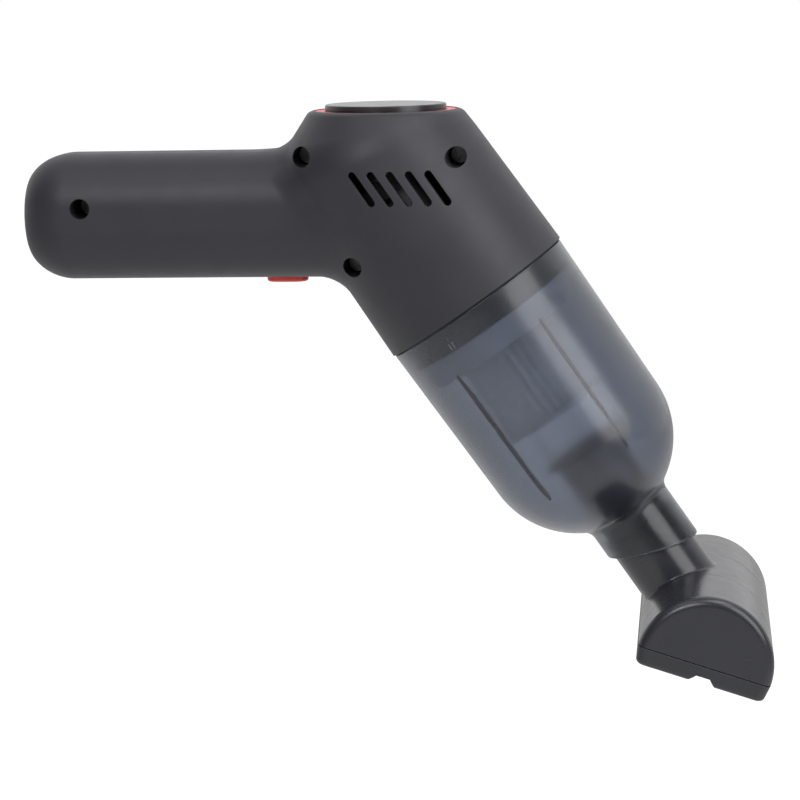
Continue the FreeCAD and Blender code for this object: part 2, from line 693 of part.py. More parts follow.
def top_disc():
    """The round plate on top, with its stem."""
    bottom = disc_bottom()
    plate = rod_z(TURRET_X, 0, DISC_RADIUS, bottom, bottom + DISC_THICKNESS)
    rim = [e for e in plate.Edges if e.BoundBox.ZMin > bottom + 0.1 and len(e.Vertexes) == 1]
    plate = plate.makeChamfer(DISC_CHAMFER, rim)
    stem = rod_z(TURRET_X, 0, DISC_STEM, bottom - DISC_STEM_LENGTH, bottom)
    return joined([plate, stem])


def disc_clip():
    """The push-on washer that holds the disc's stem under the ring's floor."""
    top = TURRET_TOP - RING_DEPTH
    washer = rod_z(TURRET_X, 0, CLIP_RADIUS, top - CLIP_THICKNESS, top)
    return washer.cut(rod_z(TURRET_X, 0, DISC_STEM, 0, FAR))


# ---- button and switch ----
def button_top():
    """Height of the top of the button's flange."""
    return -HANDLE_HEIGHT / 2 + WALL + SEAT_GAP + BUTTON_FLANGE_HEIGHT


def switch_bottom():
    """Height of the switch's underside: the button's whole travel above its flange."""
    return button_top() + BUTTON_TRAVEL + SLIDING_GAP


def switch_board_z():
    return switch_bottom() + SWITCH_HEIGHT


def power_button():
    """The red button under the handle, kept in by a flange."""
    bottom = V(BUTTON_X, 0, -HANDLE_HEIGHT / 2 - BUTTON_PROUD)
    height = button_top() - bottom.z
    body = pill(BUTTON_LENGTH, BUTTON_WIDTH, height, bottom, V(1, 0, 0), UP)
    rim = [e for e in body.Edges if e.BoundBox.ZMax < bottom.z + 0.1]
    body = body.makeFillet(BUTTON_ROUNDING, rim)
    base = V(BUTTON_X, 0, button_top() - BUTTON_FLANGE_HEIGHT)
    width = BUTTON_WIDTH + 2 * BUTTON_FLANGE
    length = BUTTON_LENGTH + 2 * BUTTON_FLANGE
    flange = pill(length, width, BUTTON_FLANGE_HEIGHT, base, V(1, 0, 0), UP)
    return joined([body, flange])


def switch_plunger():
    """The switch's plunger, which stands on the button."""
    end = switch_bottom() + PLUNGER_IN_SWITCH
    return rod_z(BUTTON_X, 0, PLUNGER_RADIUS, button_top(), end)


def power_switch():
    """The switch body, with a bore as deep as the plunger's travel."""
    half = SWITCH_SIDE / 2
    z = switch_bottom()
    body = box(BUTTON_X - half, BUTTON_X + half, -half, half, z, z + SWITCH_HEIGHT)
    depth = PLUNGER_IN_SWITCH + BUTTON_TRAVEL + SLIDING_GAP
    return body.cut(rod_z(BUTTON_X, 0, PLUNGER_RADIUS + RUNNING_FIT, z, z + depth))


def switch_board():
    """The small board that the switch is soldered to."""
    half_l, half_w = SWITCH_BOARD_LENGTH / 2, SWITCH_BOARD_WIDTH / 2
    z = switch_board_z()
    return box(BUTTON_X - half_l, BUTTON_X + half_l, -half_w, half_w, z, z + BOARD_THICKNESS)


# ---- battery ----
def frame_half_height():
    return CELL_RADIUS + FRAME_MARGIN


def cell_z():
    """Height of the cells' axes: the frames stand just above the switch's board."""
    return switch_board_z() + BOARD_THICKNESS + FRAME_GAP + frame_half_height()


def battery_cell(side):
    """One cylindrical cell with its raised positive end."""
    y = side * CELL_SPACING / 2
    z = cell_z()
    body = Part.makeCylinder(CELL_RADIUS, CELL_LENGTH, V(CELL_REAR_X, y, z), V(1, 0, 0))
    rims = [e for e in body.Edges if len(e.Vertexes) == 1]
    body = body.makeFillet(CELL_ROUNDING, rims)
    start = CELL_REAR_X + (CELL_LENGTH if side > 0 else -CELL_BUTTON_HEIGHT)
    button = Part.makeCylinder(CELL_BUTTON_RADIUS, CELL_BUTTON_HEIGHT, V(start, y, z), V(1, 0, 0))
    return joined([body, button])


def cell_frame(start):
    """A frame round both cells that fits the inside of the handle."""
    z, half = cell_z(), frame_half_height()
    plate = box(start, start + FRAME_THICKNESS, -FAR, FAR, z - half, z + half)
    plate = plate.common(handle_form(WALL + SEAT_GAP))
    for side in (-1, 1):
        centre = V(start - LAP, side * CELL_SPACING / 2, z)
        plate = plate.cut(
            Part.makeCylinder(CELL_RADIUS + SEAT_GAP, FRAME_THICKNESS + 2 * LAP, centre, V(1, 0, 0))
        )
    return plate


def cell_tab(x):
    """The nickel strip across both cells at one end."""
    half = CELL_SPACING / 2 + TAB_WIDTH / 2
    z = cell_z()
    return box(x, x + TAB_THICKNESS, -half, half, z - TAB_WIDTH / 2, z + TAB_WIDTH / 2)


# ---- charge port ----
def charge_board_rear():
    return HANDLE_REAR + PORT_SETBACK + PORT_LENGTH - CHARGE_BOARD_OVERLAP


def charge_port():
    """The socket behind the opening in the rear face."""
    start = HANDLE_REAR + PORT_SETBACK
    base = V(start, 0, 0)
    body = pill(PORT_WIDTH, PORT_HEIGHT, PORT_LENGTH, base, ACROSS, V(1, 0, 0))
    width, height = PORT_WIDTH - 2 * PORT_WALL, PORT_HEIGHT - 2 * PORT_WALL
    cavity = pill(width, height, PORT_LENGTH - PORT_BACK, base, ACROSS, V(1, 0, 0))
    half_w, half_t = TONGUE_WIDTH / 2, TONGUE_THICKNESS / 2
    end = start + PORT_LENGTH - PORT_BACK + LAP
    tongue = box(start + TONGUE_SETBACK, end, -half_w, half_w, -half_t, half_t)
    return joined([body.cut(cavity), tongue])


def charge_board():
    """The board that carries the charging port."""
    x = charge_board_rear()
    half = CHARGE_BOARD_WIDTH / 2
    z = -PORT_HEIGHT / 2
    return box(x, x + CHARGE_BOARD_LENGTH, -half, half, z - BOARD_THICKNESS, z)


# ---- control board ----
def control_board():
    """The upright board between the battery and the motor."""
    half = CONTROL_WIDTH / 2
    return box(
        CONTROL_X, CONTROL_X + BOARD_THICKNESS, -half, half, CONTROL_BOTTOM, CONTROL_TOP
    )


def control_parts():
    """The power transistor and the capacitor on the front of the control board."""
    face = CONTROL_X + BOARD_THICKNESS
    half = CHIP_SIDE / 2
    top = CONTROL_TOP - PART_MARGIN
    chip = box(face, face + CHIP_HEIGHT, -half, half, top - CHIP_SIDE, top)
    low = CONTROL_BOTTOM + PART_MARGIN + CAPACITOR_RADIUS
    can = Part.makeCylinder(CAPACITOR_RADIUS, CAPACITOR_LENGTH, V(face, 0, low), V(1, 0, 0))
    return group([chip, can])


# ---- coupling ring ----
def lugs(inner, outer, start, end, turn):
    """Bayonet lugs, turned from the centre of the first by an angle."""
    ring = tube(inner, outer, start, end)
    return [
        sector(ring, turn + i * 360 / LUG_COUNT, LUG_ANGLE) for i in range(LUG_COUNT)
    ]


def coupling_ring():
    """The ring clamped in the housing's mouth: flange, spigot, bulkhead and the filter's stub."""
    inner = SPIGOT_RADIUS - SPIGOT_WALL
    flange_radius = barrel_radius(FLANGE_START) - WALL - SEAT_GAP
    flange = tube(inner, flange_radius, FLANGE_START, FLANGE_START + FLANGE_THICKNESS)
    spigot = tube(inner, SPIGOT_RADIUS, FLANGE_START, SPIGOT_LENGTH)
    bore = STUB_RADIUS - STUB_WALL
    bulkhead = tube(bore, inner + LAP, FLANGE_START, FLANGE_START + BULKHEAD)
    stub = tube(bore, STUB_RADIUS, FLANGE_START, STUB_LENGTH)
    half, reach = GRILLE_BAR / 2, bore + LAP
    deep = FLANGE_START + GRILLE_DEPTH
    bars = [
        box(-reach, reach, -half, half, FLANGE_START, deep, BARREL),
        box(-half, half, -reach, reach, FLANGE_START, deep, BARREL),
    ]
    low, high = SPIGOT_RADIUS - LAP, SPIGOT_RADIUS + LUG_HEIGHT
    ends = lugs(low, high, LUG_START, LUG_START + LUG_THICKNESS, LUG_REST)
    whole = joined([flange, spigot, bulkhead, stub] + bars + ends)
    seat_end = SEAL_START + SEAL_WIDTH + SEAT_GAP
    groove = tube(SPIGOT_RADIUS - SEAL_SEAT, FAR / 4, SEAL_START - SEAT_GAP, seat_end)
    return whole.cut(groove)


def cup_seal():
    """The rubber seal in the spigot's groove, which the cup's mouth slides over."""
    return tube(
        SPIGOT_RADIUS - SEAL_SEAT + RUNNING_FIT,
        cup_inner(SEAL_START) - RUNNING_FIT,
        SEAL_START,
        SEAL_START + SEAL_WIDTH,
    )


# ---- fan and motor ----
def fan_shroud():
    """The pan round the fan, which the motor is screwed to."""
    wall = tube(SHROUD_RADIUS - SHROUD_WALL, SHROUD_RADIUS, SHROUD_START, FLANGE_START)
    front = SHROUD_START + SHROUD_PLATE
    plate = tube(BUSH_RADIUS + NOSE_WALL + SEAT_GAP, SHROUD_RADIUS, SHROUD_START, front)
    place = SHROUD_RADIUS - SHROUD_WALL - SHROUD_HOLE - LAP
    low, high = SHROUD_START - LAP, front + LAP
    holes = []
    for i in range(SHROUD_HOLES):
        angle = math.radians(i * 360 / SHROUD_HOLES)
        x, y = place * math.cos(angle), place * math.sin(angle)
        holes.append(rod_z(x, y, SHROUD_HOLE, low, high, BARREL))
    for side in (-1, 1):
        y = side * MOTOR_SCREW_SPACING / 2
        holes.append(rod_z(0, y, MOTOR_SCREW + SEAT_GAP, low, high, BARREL))
    return joined([wall, plate]).cut(Part.makeCompound(holes))


def impeller():
    """The closed centrifugal fan."""
    front = FAN_FRONT
    rear = FAN_FRONT - FAN_HEIGHT
    cover = tube(FAN_EYE, FAN_RADIUS, front - FAN_PLATE, front)
    back = tube(SHAFT_RADIUS, FAN_RADIUS, rear, rear + FAN_PLATE)
    hub = tube(SHAFT_RADIUS, FAN_HUB, rear, front - FAN_PLATE)
    start = FAN_HUB + BLADE_START
    low, high = rear + FAN_PLATE / 2, front - FAN_PLATE / 2
    ring = tube(start, FAN_RADIUS, low, high)
    blades = []
    for i in range(FAN_BLADES):
        blade = Part.makeBox(2 * FAN_RADIUS, FAN_BLADE, high - low, V(0, 0, low))
        blade.rotate(V(), UP, FAN_SWEEP)
        blade.translate(V(start, 0, 0))
        blade.rotate(V(), UP, i * 360 / FAN_BLADES)
        blades.append(placed(blade, BARREL).common(ring))
    return joined([cover, back, hub] + blades)


def motor_can():
    """The steel can: a tube with a closed front and a nose round the front bush."""
    front = SHROUD_START
    wall = tube(MOTOR_RADIUS - MOTOR_WALL, MOTOR_RADIUS, MOTOR_REAR, front)
    face = tube(SHAFT_RADIUS + SHAFT_CLEARANCE, MOTOR_RADIUS, front - MOTOR_WALL, front)
    nose = tube(BUSH_RADIUS, BUSH_RADIUS + NOSE_WALL, front - BUSH_LENGTH, front + NOSE_WALL)
    holes = [tube(0, BUSH_RADIUS, front - BUSH_LENGTH - LAP, front)]
    for side in (-1, 1):
        y = side * MOTOR_SCREW_SPACING / 2
        holes.append(rod_z(0, y, MOTOR_SCREW, front - 2 * MOTOR_WALL, front + LAP, BARREL))
    return joined([wall, face, nose]).cut(Part.makeCompound(holes))


def motor_end_cap():
    """The plastic cap that closes the rear of the can."""
    rear = MOTOR_REAR
    lid = tube(0, MOTOR_RADIUS - CAP_MARGIN, rear - MOTOR_CAP, rear)
    inner_end = rear + BUSH_LENGTH - MOTOR_CAP
    plug = tube(BUSH_RADIUS, MOTOR_RADIUS - MOTOR_WALL - RUNNING_FIT, rear, inner_end)
    holes = [
        tube(0, BUSH_RADIUS, rear - MOTOR_CAP + BUSH_COVER, rear + BUSH_LENGTH),
        tube(0, SHAFT_RADIUS + SHAFT_CLEARANCE, rear - MOTOR_CAP - LAP, rear),
    ]
    holes += [terminal(side, 0) for side in (-1, 1)]
    return joined([lid, plug]).cut(Part.makeCompound(holes))


def terminal(side, trim):
    """One spade terminal through the motor's cap."""
    rear = MOTOR_REAR - MOTOR_CAP
    y = side * TERMINAL_SPACING / 2
    half_w = TERMINAL_WIDTH / 2 - trim
    half_t = TERMINAL_THICKNESS / 2 - trim
    low, high = rear - TERMINAL_LENGTH, rear + MOTOR_CAP
    return box(-half_w, half_w, y - half_t, y + half_t, low, high, BARREL)


def motor_terminals():
    """The two terminals, in one node."""
    return group([terminal(side, PRESS_GAP) for side in (-1, 1)])


def motor_bushes():
    """The two sintered bearings that carry the shaft."""
    inner = SHAFT_RADIUS + PRESS_GAP
    low = MOTOR_REAR - MOTOR_CAP
    return group([
        tube(inner, BUSH_RADIUS, SHROUD_START - BUSH_LENGTH, SHROUD_START),
        tube(inner, BUSH_RADIUS, low + BUSH_COVER, low + BUSH_LENGTH),
    ])


def motor_magnets():
    """Two arc magnets bonded inside the can."""
    outer = MOTOR_RADIUS - MOTOR_WALL
    low, high = MOTOR_REAR + MAGNET_MARGIN, SHROUD_START - MAGNET_MARGIN
    ring = tube(outer - MAGNET_THICKNESS, outer, low, high)
    return group([sector(ring, angle, MAGNET_ANGLE) for angle in (0, 180)])


def motor_shaft():
    """The steel shaft, from past the motor's cap to the fan's hub."""
    return tube(0, SHAFT_RADIUS, MOTOR_REAR - MOTOR_CAP - SHAFT_REAR, FAN_FRONT - FAN_PLATE)


def armature():
    """The wound rotor."""
    core = tube(SHAFT_RADIUS, ARMATURE_RADIUS, ARMATURE_START, ARMATURE_END)
    slots = []
    half = ARMATURE_SLOT_WIDTH / 2
    floor = ARMATURE_RADIUS - ARMATURE_SLOT_DEPTH
    for angle in (0, 120, 240):
        slot = box(floor, FAR, -half, half, ARMATURE_START - LAP, ARMATURE_END + LAP)
        slot.rotate(V(), UP, angle)
        slots.append(placed(slot, BARREL))
    return core.cut(Part.makeCompound(slots))


def commutator():
    """The copper commutator behind the armature."""
    end = ARMATURE_START
    return tube(SHAFT_RADIUS, COMMUTATOR_RADIUS, end - COMMUTATOR_LENGTH, end)


def motor_screws():
    """Two screws through the fan shroud into the motor's face."""
    screws = []
    seat = SHROUD_START + SHROUD_PLATE
    for side in (-1, 1):
        y = side * MOTOR_SCREW_SPACING / 2
        head = rod_z(0, y, MOTOR_SCREW_HEAD, seat, seat + MOTOR_SCREW_HEAD_HEIGHT, BARREL)
        shank = rod_z(0, y, MOTOR_SCREW - PRESS_GAP, seat - MOTOR_SCREW_LENGTH, seat, BARREL)
        screws.append(joined([head, shank]))
    return group(screws)


def motor_mount():
    """The rubber sleeve round the rear of the motor."""
    return tube(
        MOTOR_RADIUS + PRESS_GAP,
        MOTOR_RADIUS + MOUNT_WALL,
        MOUNT_START,
        MOUNT_START + MOUNT_LENGTH,
    )


# ---- dust cup ----
def cup_outer(s):
    """Outer radius of the cup's straight part at s."""
    share = (s - CUP_START) / (CUP_STRAIGHT - CUP_START)
    return CUP_RADIUS + (CUP_END_RADIUS - CUP_RADIUS) * share


def cup_inner(s):
    return cup_outer(s) - CUP_WALL


def cup_form(radius_trim, start):
    """The tapered tube and round dome of the cup, shrunk by radius_trim, as a solid."""
    top = cup_outer(start) - radius_trim
    dome = CUP_END_RADIUS - radius_trim
    edges = [
        Part.LineSegment(V(0, 0, start), V(top, 0, start)).toShape(),
        Part.LineSegment(V(top, 0, start), V(dome, 0, CUP_STRAIGHT)).toShape(),
        Part.Arc(
            V(dome, 0, CUP_STRAIGHT),
            V(dome * math.sqrt(0.5), 0, CUP_STRAIGHT + dome * math.sqrt(0.5)),
            V(0, 0, CUP_STRAIGHT + dome),
        ).toShape(),
        Part.LineSegment(V(0, 0, CUP_STRAIGHT + dome), V(0, 0, start)).toShape(),
    ]
    return placed(Part.Face(Part.Wire(edges)).revolve(V(), UP, 360), BARREL)


def neck_fillet():
    """The collar that rounds the corner between dome and neck."""
    dome = CUP_END_RADIUS
    reach = dome + NECK_FILLET
    height = math.sqrt(reach ** 2 - (NECK_RADIUS + NECK_FILLET) ** 2)
    centre = V(NECK_RADIUS + NECK_FILLET, 0, CUP_STRAIGHT + height)
    on_neck = V(NECK_RADIUS, 0, centre.z)
    to_dome = V(centre.x, 0, height) * (1 / reach)
    on_dome = V(centre.x, 0, centre.z) - to_dome * NECK_FILLET
    middle = (on_neck + on_dome) * 0.5 - centre
    middle = centre + middle * (NECK_FILLET / middle.Length)
    under = NECK_RADIUS - LAP
    inside = V(under, 0, on_dome.z - 2 * LAP)
    edges = [
        Part.Arc(on_neck, middle, on_dome).toShape(),
        Part.LineSegment(on_dome, inside).toShape(),
        Part.LineSegment(inside, V(under, 0, on_neck.z)).toShape(),
        Part.LineSegment(V(under, 0, on_neck.z), on_neck).toShape(),
    ]
    return placed(Part.Face(Part.Wire(edges)).revolve(V(), UP, 360), BARREL)


def beyond_mouth():
    """The space past the slanted mouth of the neck."""
    block = Part.makeBox(FAR, FAR, FAR, V(-FAR / 2, -FAR / 2, 0))
    block.rotate(V(), ACROSS, -NECK_SLANT)
    block.translate(V(0, 0, NECK_END))
    return placed(block, BARREL)


def cup_ribs():
    """Four thin ribs along the inside of the cup."""
    ring = cup_form(CUP_WALL / 2, RIB_START)
    ring = ring.cut(cup_form(CUP_WALL + RIB_DEPTH, RIB_START - LAP))
    ribs = []
    for side in (90, 270):
        for offset in (-RIB_ANGLE, RIB_ANGLE):
            blade = box(0, FAR, -RIB_WIDTH / 2, RIB_WIDTH / 2, RIB_START, RIB_END)
            blade.rotate(V(), UP, side + offset)
            ribs.append(placed(blade, BARREL).common(ring))
    return ribs


def dust_cup():
    """The clear cup: tube, dome, slanted neck, ribs and the bayonet's hooks."""
    neck = tube(0, NECK_RADIUS, CUP_STRAIGHT, NECK_END + NECK_RADIUS)
    outer = joined([cup_form(0, CUP_START), neck, neck_fillet()])
    hollow = cup_form(CUP_WALL, CUP_START)
    bore = tube(0, TUBE_RADIUS + RUNNING_FIT / 2, CUP_STRAIGHT, SOCKET_START)
    socket = tube(0, HEAD_TUBE_RADIUS + RUNNING_FIT, SOCKET_START, NECK_END + 2 * NECK_RADIUS)
    body = outer.cut(hollow).cut(joined([bore, socket])).cut(beyond_mouth())
    end = LUG_START - SLIDING_GAP
    mouth = cup_inner(end)
    inner = SPIGOT_RADIUS + SLIDING_GAP
    hooks = lugs(inner, mouth + CUP_WALL / 2, end - LUG_THICKNESS, end, 0)
    return joined([body] + cup_ribs() + hooks)


def inlet_tube():
    """The pipe that stands in the cup, with two ears for the flap's pin."""
    pipe = tube(TUBE_RADIUS - TUBE_WALL, TUBE_RADIUS, TUBE_START, SOCKET_START)
    u0, u1 = TUBE_RADIUS - FLAP_EAR_ROOT, FLAP_PIN_U + FLAP_KNUCKLE
    s0, s1 = flap_pin_s() - FLAP_KNUCKLE, TUBE_START + FLAP_EAR_LENGTH
    ears = []
    for side in (-1, 1):
        y0, y1 = sorted((side * (FLAP_PIN_LENGTH / 2 - FLAP_EAR), side * FLAP_PIN_LENGTH / 2))
        ears.append(box(u0, u1, y0, y1, s0, s1, BARREL))
    cuts = [
        tube(0, TUBE_RADIUS - TUBE_WALL, s0 - LAP, SOCKET_START),
        tube(0, TUBE_RADIUS + FLAP_EAR_SPACE, s0 - LAP, TUBE_START),
        pin_rod(FLAP_PIN_RADIUS + EPS),
    ]
    return joined([pipe] + ears).cut(Part.makeCompound(cuts))


def flap_pin_s():
    """Place of the flap's pin along the barrel: the middle of the flap's thickness."""
    return TUBE_START - SEAT_GAP - FLAP_THICKNESS / 2


def pin_rod(radius):
    """A rod along Y on the flap's axis."""
    centre = at(flap_pin_s(), FLAP_PIN_U, -FLAP_PIN_LENGTH / 2)
    return Part.makeCylinder(radius, FLAP_PIN_LENGTH, centre, ACROSS)


def flap_valve():
    """The flap over the inlet tube, hung on its pin."""
    end = TUBE_START - SEAT_GAP
    disc = tube(0, FLAP_RADIUS, end - FLAP_THICKNESS, end)
    gap = FLAP_PIN_LENGTH / 2 - FLAP_EAR - SLIDING_GAP
    s = flap_pin_s()
    knuckle = Part.makeCylinder(FLAP_KNUCKLE, 2 * gap, at(s, FLAP_PIN_U, -gap), ACROSS)
    u0 = TUBE_RADIUS - FLAP_EAR_ROOT - SLIDING_GAP
    ear_space = []
    for side in (-1, 1):
        y0, y1 = sorted((side * (gap - EPS), side * (FLAP_PIN_LENGTH / 2 + SLIDING_GAP)))
        ear_space.append(box(u0, FAR, y0, y1, 0, TUBE_START, BARREL))
    flap = joined([disc.cut(Part.makeCompound(ear_space)), knuckle])
    return flap.cut(pin_rod(FLAP_PIN_RADIUS + RUNNING_FIT))


# ---- filter ----
def filter_frame():
    """The filter's plastic frame: skirt, flange and the sleeve on the stub."""
    skirt = tube(FILTER_SKIRT - FILTER_SKIRT_WALL, FILTER_SKIRT, FILTER_START, FILTER_FLANGE_END)
    inner = STUB_RADIUS + RUNNING_FIT
    flange = tube(inner, FILTER_SKIRT, FILTER_FLANGE_END - FILTER_FLANGE, FILTER_FLANGE_END)
    sleeve = tube(inner, inner + FILTER_SLEEVE_WALL, FILTER_START, FILTER_FLANGE_END)
    return joined([skirt, flange, sleeve])


def filter_pleats():
    """The pleated paper, folded round a core."""
    outer = FILTER_RADIUS
    inner = FILTER_RADIUS - PLEAT_DEPTH
    points = []
    for i in range(PLEAT_COUNT):
        for k, r in ((0, outer), (0.5, inner)):
            angle = 2 * math.pi * (i + k) / PLEAT_COUNT
            points.append(V(r * math.cos(angle), r * math.sin(angle), FILTER_FLANGE_END))
    wire = Part.makePolygon(points + [points[0]])
    star = Part.Face(wire).extrude(V(0, 0, FILTER_END - FILTER_FLANGE_END))
    return placed(star, BARREL).cut(tube(0, inner - PLEAT_CORE, FILTER_FLANGE_END, FILTER_END))


def filter_end_cap():
    """The cap on the filter's free end."""
    return tube(0, FILTER_RADIUS + CAP_LAP, FILTER_END, FILTER_END + FILTER_CAP)


# ---- nozzle head ----
def head_tube():
    """The head's tube and its thinner spigot, down to the middle of the head."""
    wide = tube(0, HEAD_TUBE_RADIUS, HEAD_SHOULDER, HEAD_S)
    narrow = tube(0, HEAD_SPIGOT_RADIUS, HEAD_SPIGOT_START, HEAD_SHOULDER)
    return joined([wide, narrow])


def half_round(width, height, length):
    """A bar along Y with a flat base and an elliptical top, in the head's frame."""
    half = width / 2
    centre = V(0, -length / 2, 0)
    if half > height:
        curve = Part.Ellipse(centre + V(half, 0, 0), centre + V(0, 0, height), centre)
    else:
        curve = Part.Ellipse(centre + V(0, 0, height), centre + V(half, 0, 0), centre)
    whole = Part.Face(Part.Wire([curve.toShape()])).extrude(ACROSS * length)
    return whole.common(box(-FAR, FAR, -FAR, FAR, 0, FAR))


def head_form(inset):
    """The D-shaped bar of the head, shrunk by inset, above the sole."""
    bar = half_round(HEAD_WIDTH - 2 * inset, HEAD_HEIGHT - inset, HEAD_LENGTH - 2 * inset)
    if inset:
        return placed(bar, HEAD)
    rims = [
        e for e in bar.Edges
        if abs(abs(e.BoundBox.YMin) - HEAD_LENGTH / 2) < EPS
        and e.BoundBox.YLength < EPS
        and e.BoundBox.ZLength > 1
    ]
    return placed(bar.makeFillet(HEAD_ROUNDING, rims), HEAD)


def sole_screw_places():
    return [(dx * SOLE_SCREW_X, dy * SOLE_SCREW_Y) for dx in (-1, 1) for dy in (-1, 1)]


def head_shell():
    """The nozzle head: a D-shaped chamber with its tube."""
    tube_solid = head_tube()
    outer = head_form(0).fuse(tube_solid.common(outside_chamber()))
    bosses = [
        rod_z(x, y, SOLE_BOSS, SOLE_LIP + SEAT_GAP, HEAD_HEIGHT, HEAD).common(head_form(0))
        for x, y in sole_screw_places()
    ]
    body = outer.cut(head_form(HEAD_WALL)).multiFuse(bosses)
    cuts = [
        tube(0, HEAD_BORE, HEAD_SPIGOT_START, HEAD_S),
        tube(HEAD_TUBE_RADIUS - ORING_DEPTH, FAR / 4, ORING_START, ORING_START + ORING_WIDTH),
    ]
    end = sole_screw_top() + SOLE_SCREW_SPARE
    for x, y in sole_screw_places():
        cuts.append(rod_z(x, y, SOLE_SCREW + RUNNING_FIT / 2, 0, end, HEAD))
    return body.cut(Part.makeCompound(cuts))


def outside_chamber():
    """All that lies above the head's bottom plane."""
    return box(-FAR, FAR, -FAR, FAR, 0, FAR, HEAD)


def neck_o_ring():
    """The rubber ring between the head's tube and the cup's neck."""
    return tube(
        HEAD_TUBE_RADIUS - ORING_DEPTH + RUNNING_FIT,
        HEAD_TUBE_RADIUS,
        ORING_START + SEAT_GAP,
        ORING_START + ORING_WIDTH - SEAT_GAP,
    )


def sole_bottom():
    return -SOLE_GAP - SOLE_HEIGHT


def sole_screw_seat():
    return sole_bottom() + SOLE_SCREW_SUNK + SOLE_SCREW_HEAD_HEIGHT


def sole_screw_top():
    return sole_screw_seat() + SOLE_SCREW_LENGTH


def sole_plate():
    """The sole's block: draughted sides, rounded corners."""
    top, bottom = -SOLE_GAP, sole_bottom()
    half = HEAD_WIDTH / 2
    low = half - SOLE_LEAN
    points = [V(-half, 0, top), V(half, 0, top), V(low, 0, bottom), V(-low, 0, bottom)]
    wire = Part.makePolygon(points + [points[0]])
    block = Part.Face(wire).extrude(ACROSS * HEAD_LENGTH)
    block.translate(V(0, -HEAD_LENGTH / 2, 0))
    uprights = [e for e in block.Edges if e.BoundBox.ZLength > SOLE_HEIGHT / 2]
    block = block.makeFillet(HEAD_ROUNDING, uprights)
    base = [e for e in block.Edges if e.BoundBox.ZMax < bottom + EPS]
    return block.makeFillet(SOLE_ROUNDING, base)


def head_sole():
    """The sole: a plate with the suction mouth, a cross channel, strip seats and a lip."""
    top, bottom = -SOLE_GAP, sole_bottom()
    wide = HEAD_WIDTH / 2 - HEAD_WALL - LIP_CLEARANCE_X
    long = HEAD_LENGTH / 2 - HEAD_WALL - LIP_CLEARANCE_Y
    lip = box(-wide, wide, -long, long, top - LAP, SOLE_LIP)
    wide, long = wide - SOLE_LIP_WALL, long - SOLE_LIP_WALL
    lip = lip.cut(box(-wide, wide, -long, long, top, FAR))
    body = joined([sole_plate(), lip])
    half = MOUTH_WIDTH / 2
    mouth = box(-half, half, -MOUTH_LENGTH / 2, MOUTH_LENGTH / 2, -FAR, FAR)
    x = CHANNEL_OFFSET
    points = [
        V(x - CHANNEL_WIDTH / 2, -FAR, bottom),
        V(x - CHANNEL_TOP / 2, -FAR, bottom + CHANNEL_DEPTH),
        V(x + CHANNEL_TOP / 2, -FAR, bottom + CHANNEL_DEPTH),
        V(x + CHANNEL_WIDTH / 2, -FAR, bottom),
        V(x + CHANNEL_WIDTH / 2, -FAR, bottom - 1),
        V(x - CHANNEL_WIDTH / 2, -FAR, bottom - 1),
    ]
    channel = Part.Face(Part.makePolygon(points + [points[0]])).extrude(ACROSS * 2 * FAR)
    cuts = [mouth, channel] + strip_blocks(SEAT_GAP, STRIP_DEPTH + SEAT_GAP)
    for sx, sy in sole_screw_places():
        cuts.append(rod_z(sx, sy, SOLE_SCREW + SEAT_GAP, -FAR, FAR))
        cuts.append(rod_z(sx, sy, SOLE_SCREW_HEAD + SOLE_SCREW_CLEARANCE, -FAR, sole_screw_seat()))
    return placed(body.cut(Part.makeCompound(cuts)), HEAD)


def strip_blocks(gap, depth):
    """The two lint strips, or their seats, in the head's frame."""
    bottom = sole_bottom()
    half_l = STRIP_LENGTH / 2 + gap
    half_w = STRIP_WIDTH / 2 + gap
    return [
        box(
            side * STRIP_OFFSET - half_w, side * STRIP_OFFSET + half_w, -half_l, half_l,
            bottom - STRIP_PROUD, bottom + depth,
        )
        for side in (-1, 1)
    ]


def lint_strips():
    """The two fabric strips, in one node."""
    return placed(group(strip_blocks(0, STRIP_DEPTH)), HEAD)


def sole_screws():
    """Four screws from below into the head's bosses."""
    screws = []
    seat = sole_screw_seat()
    for x, y in sole_screw_places():
        head = rod_z(x, y, SOLE_SCREW_HEAD, seat - SOLE_SCREW_HEAD_HEIGHT, seat, HEAD)
        shank = rod_z(x, y, SOLE_SCREW, seat, sole_screw_top(), HEAD)
        screws.append(joined([head, shank]))
    return group(screws)


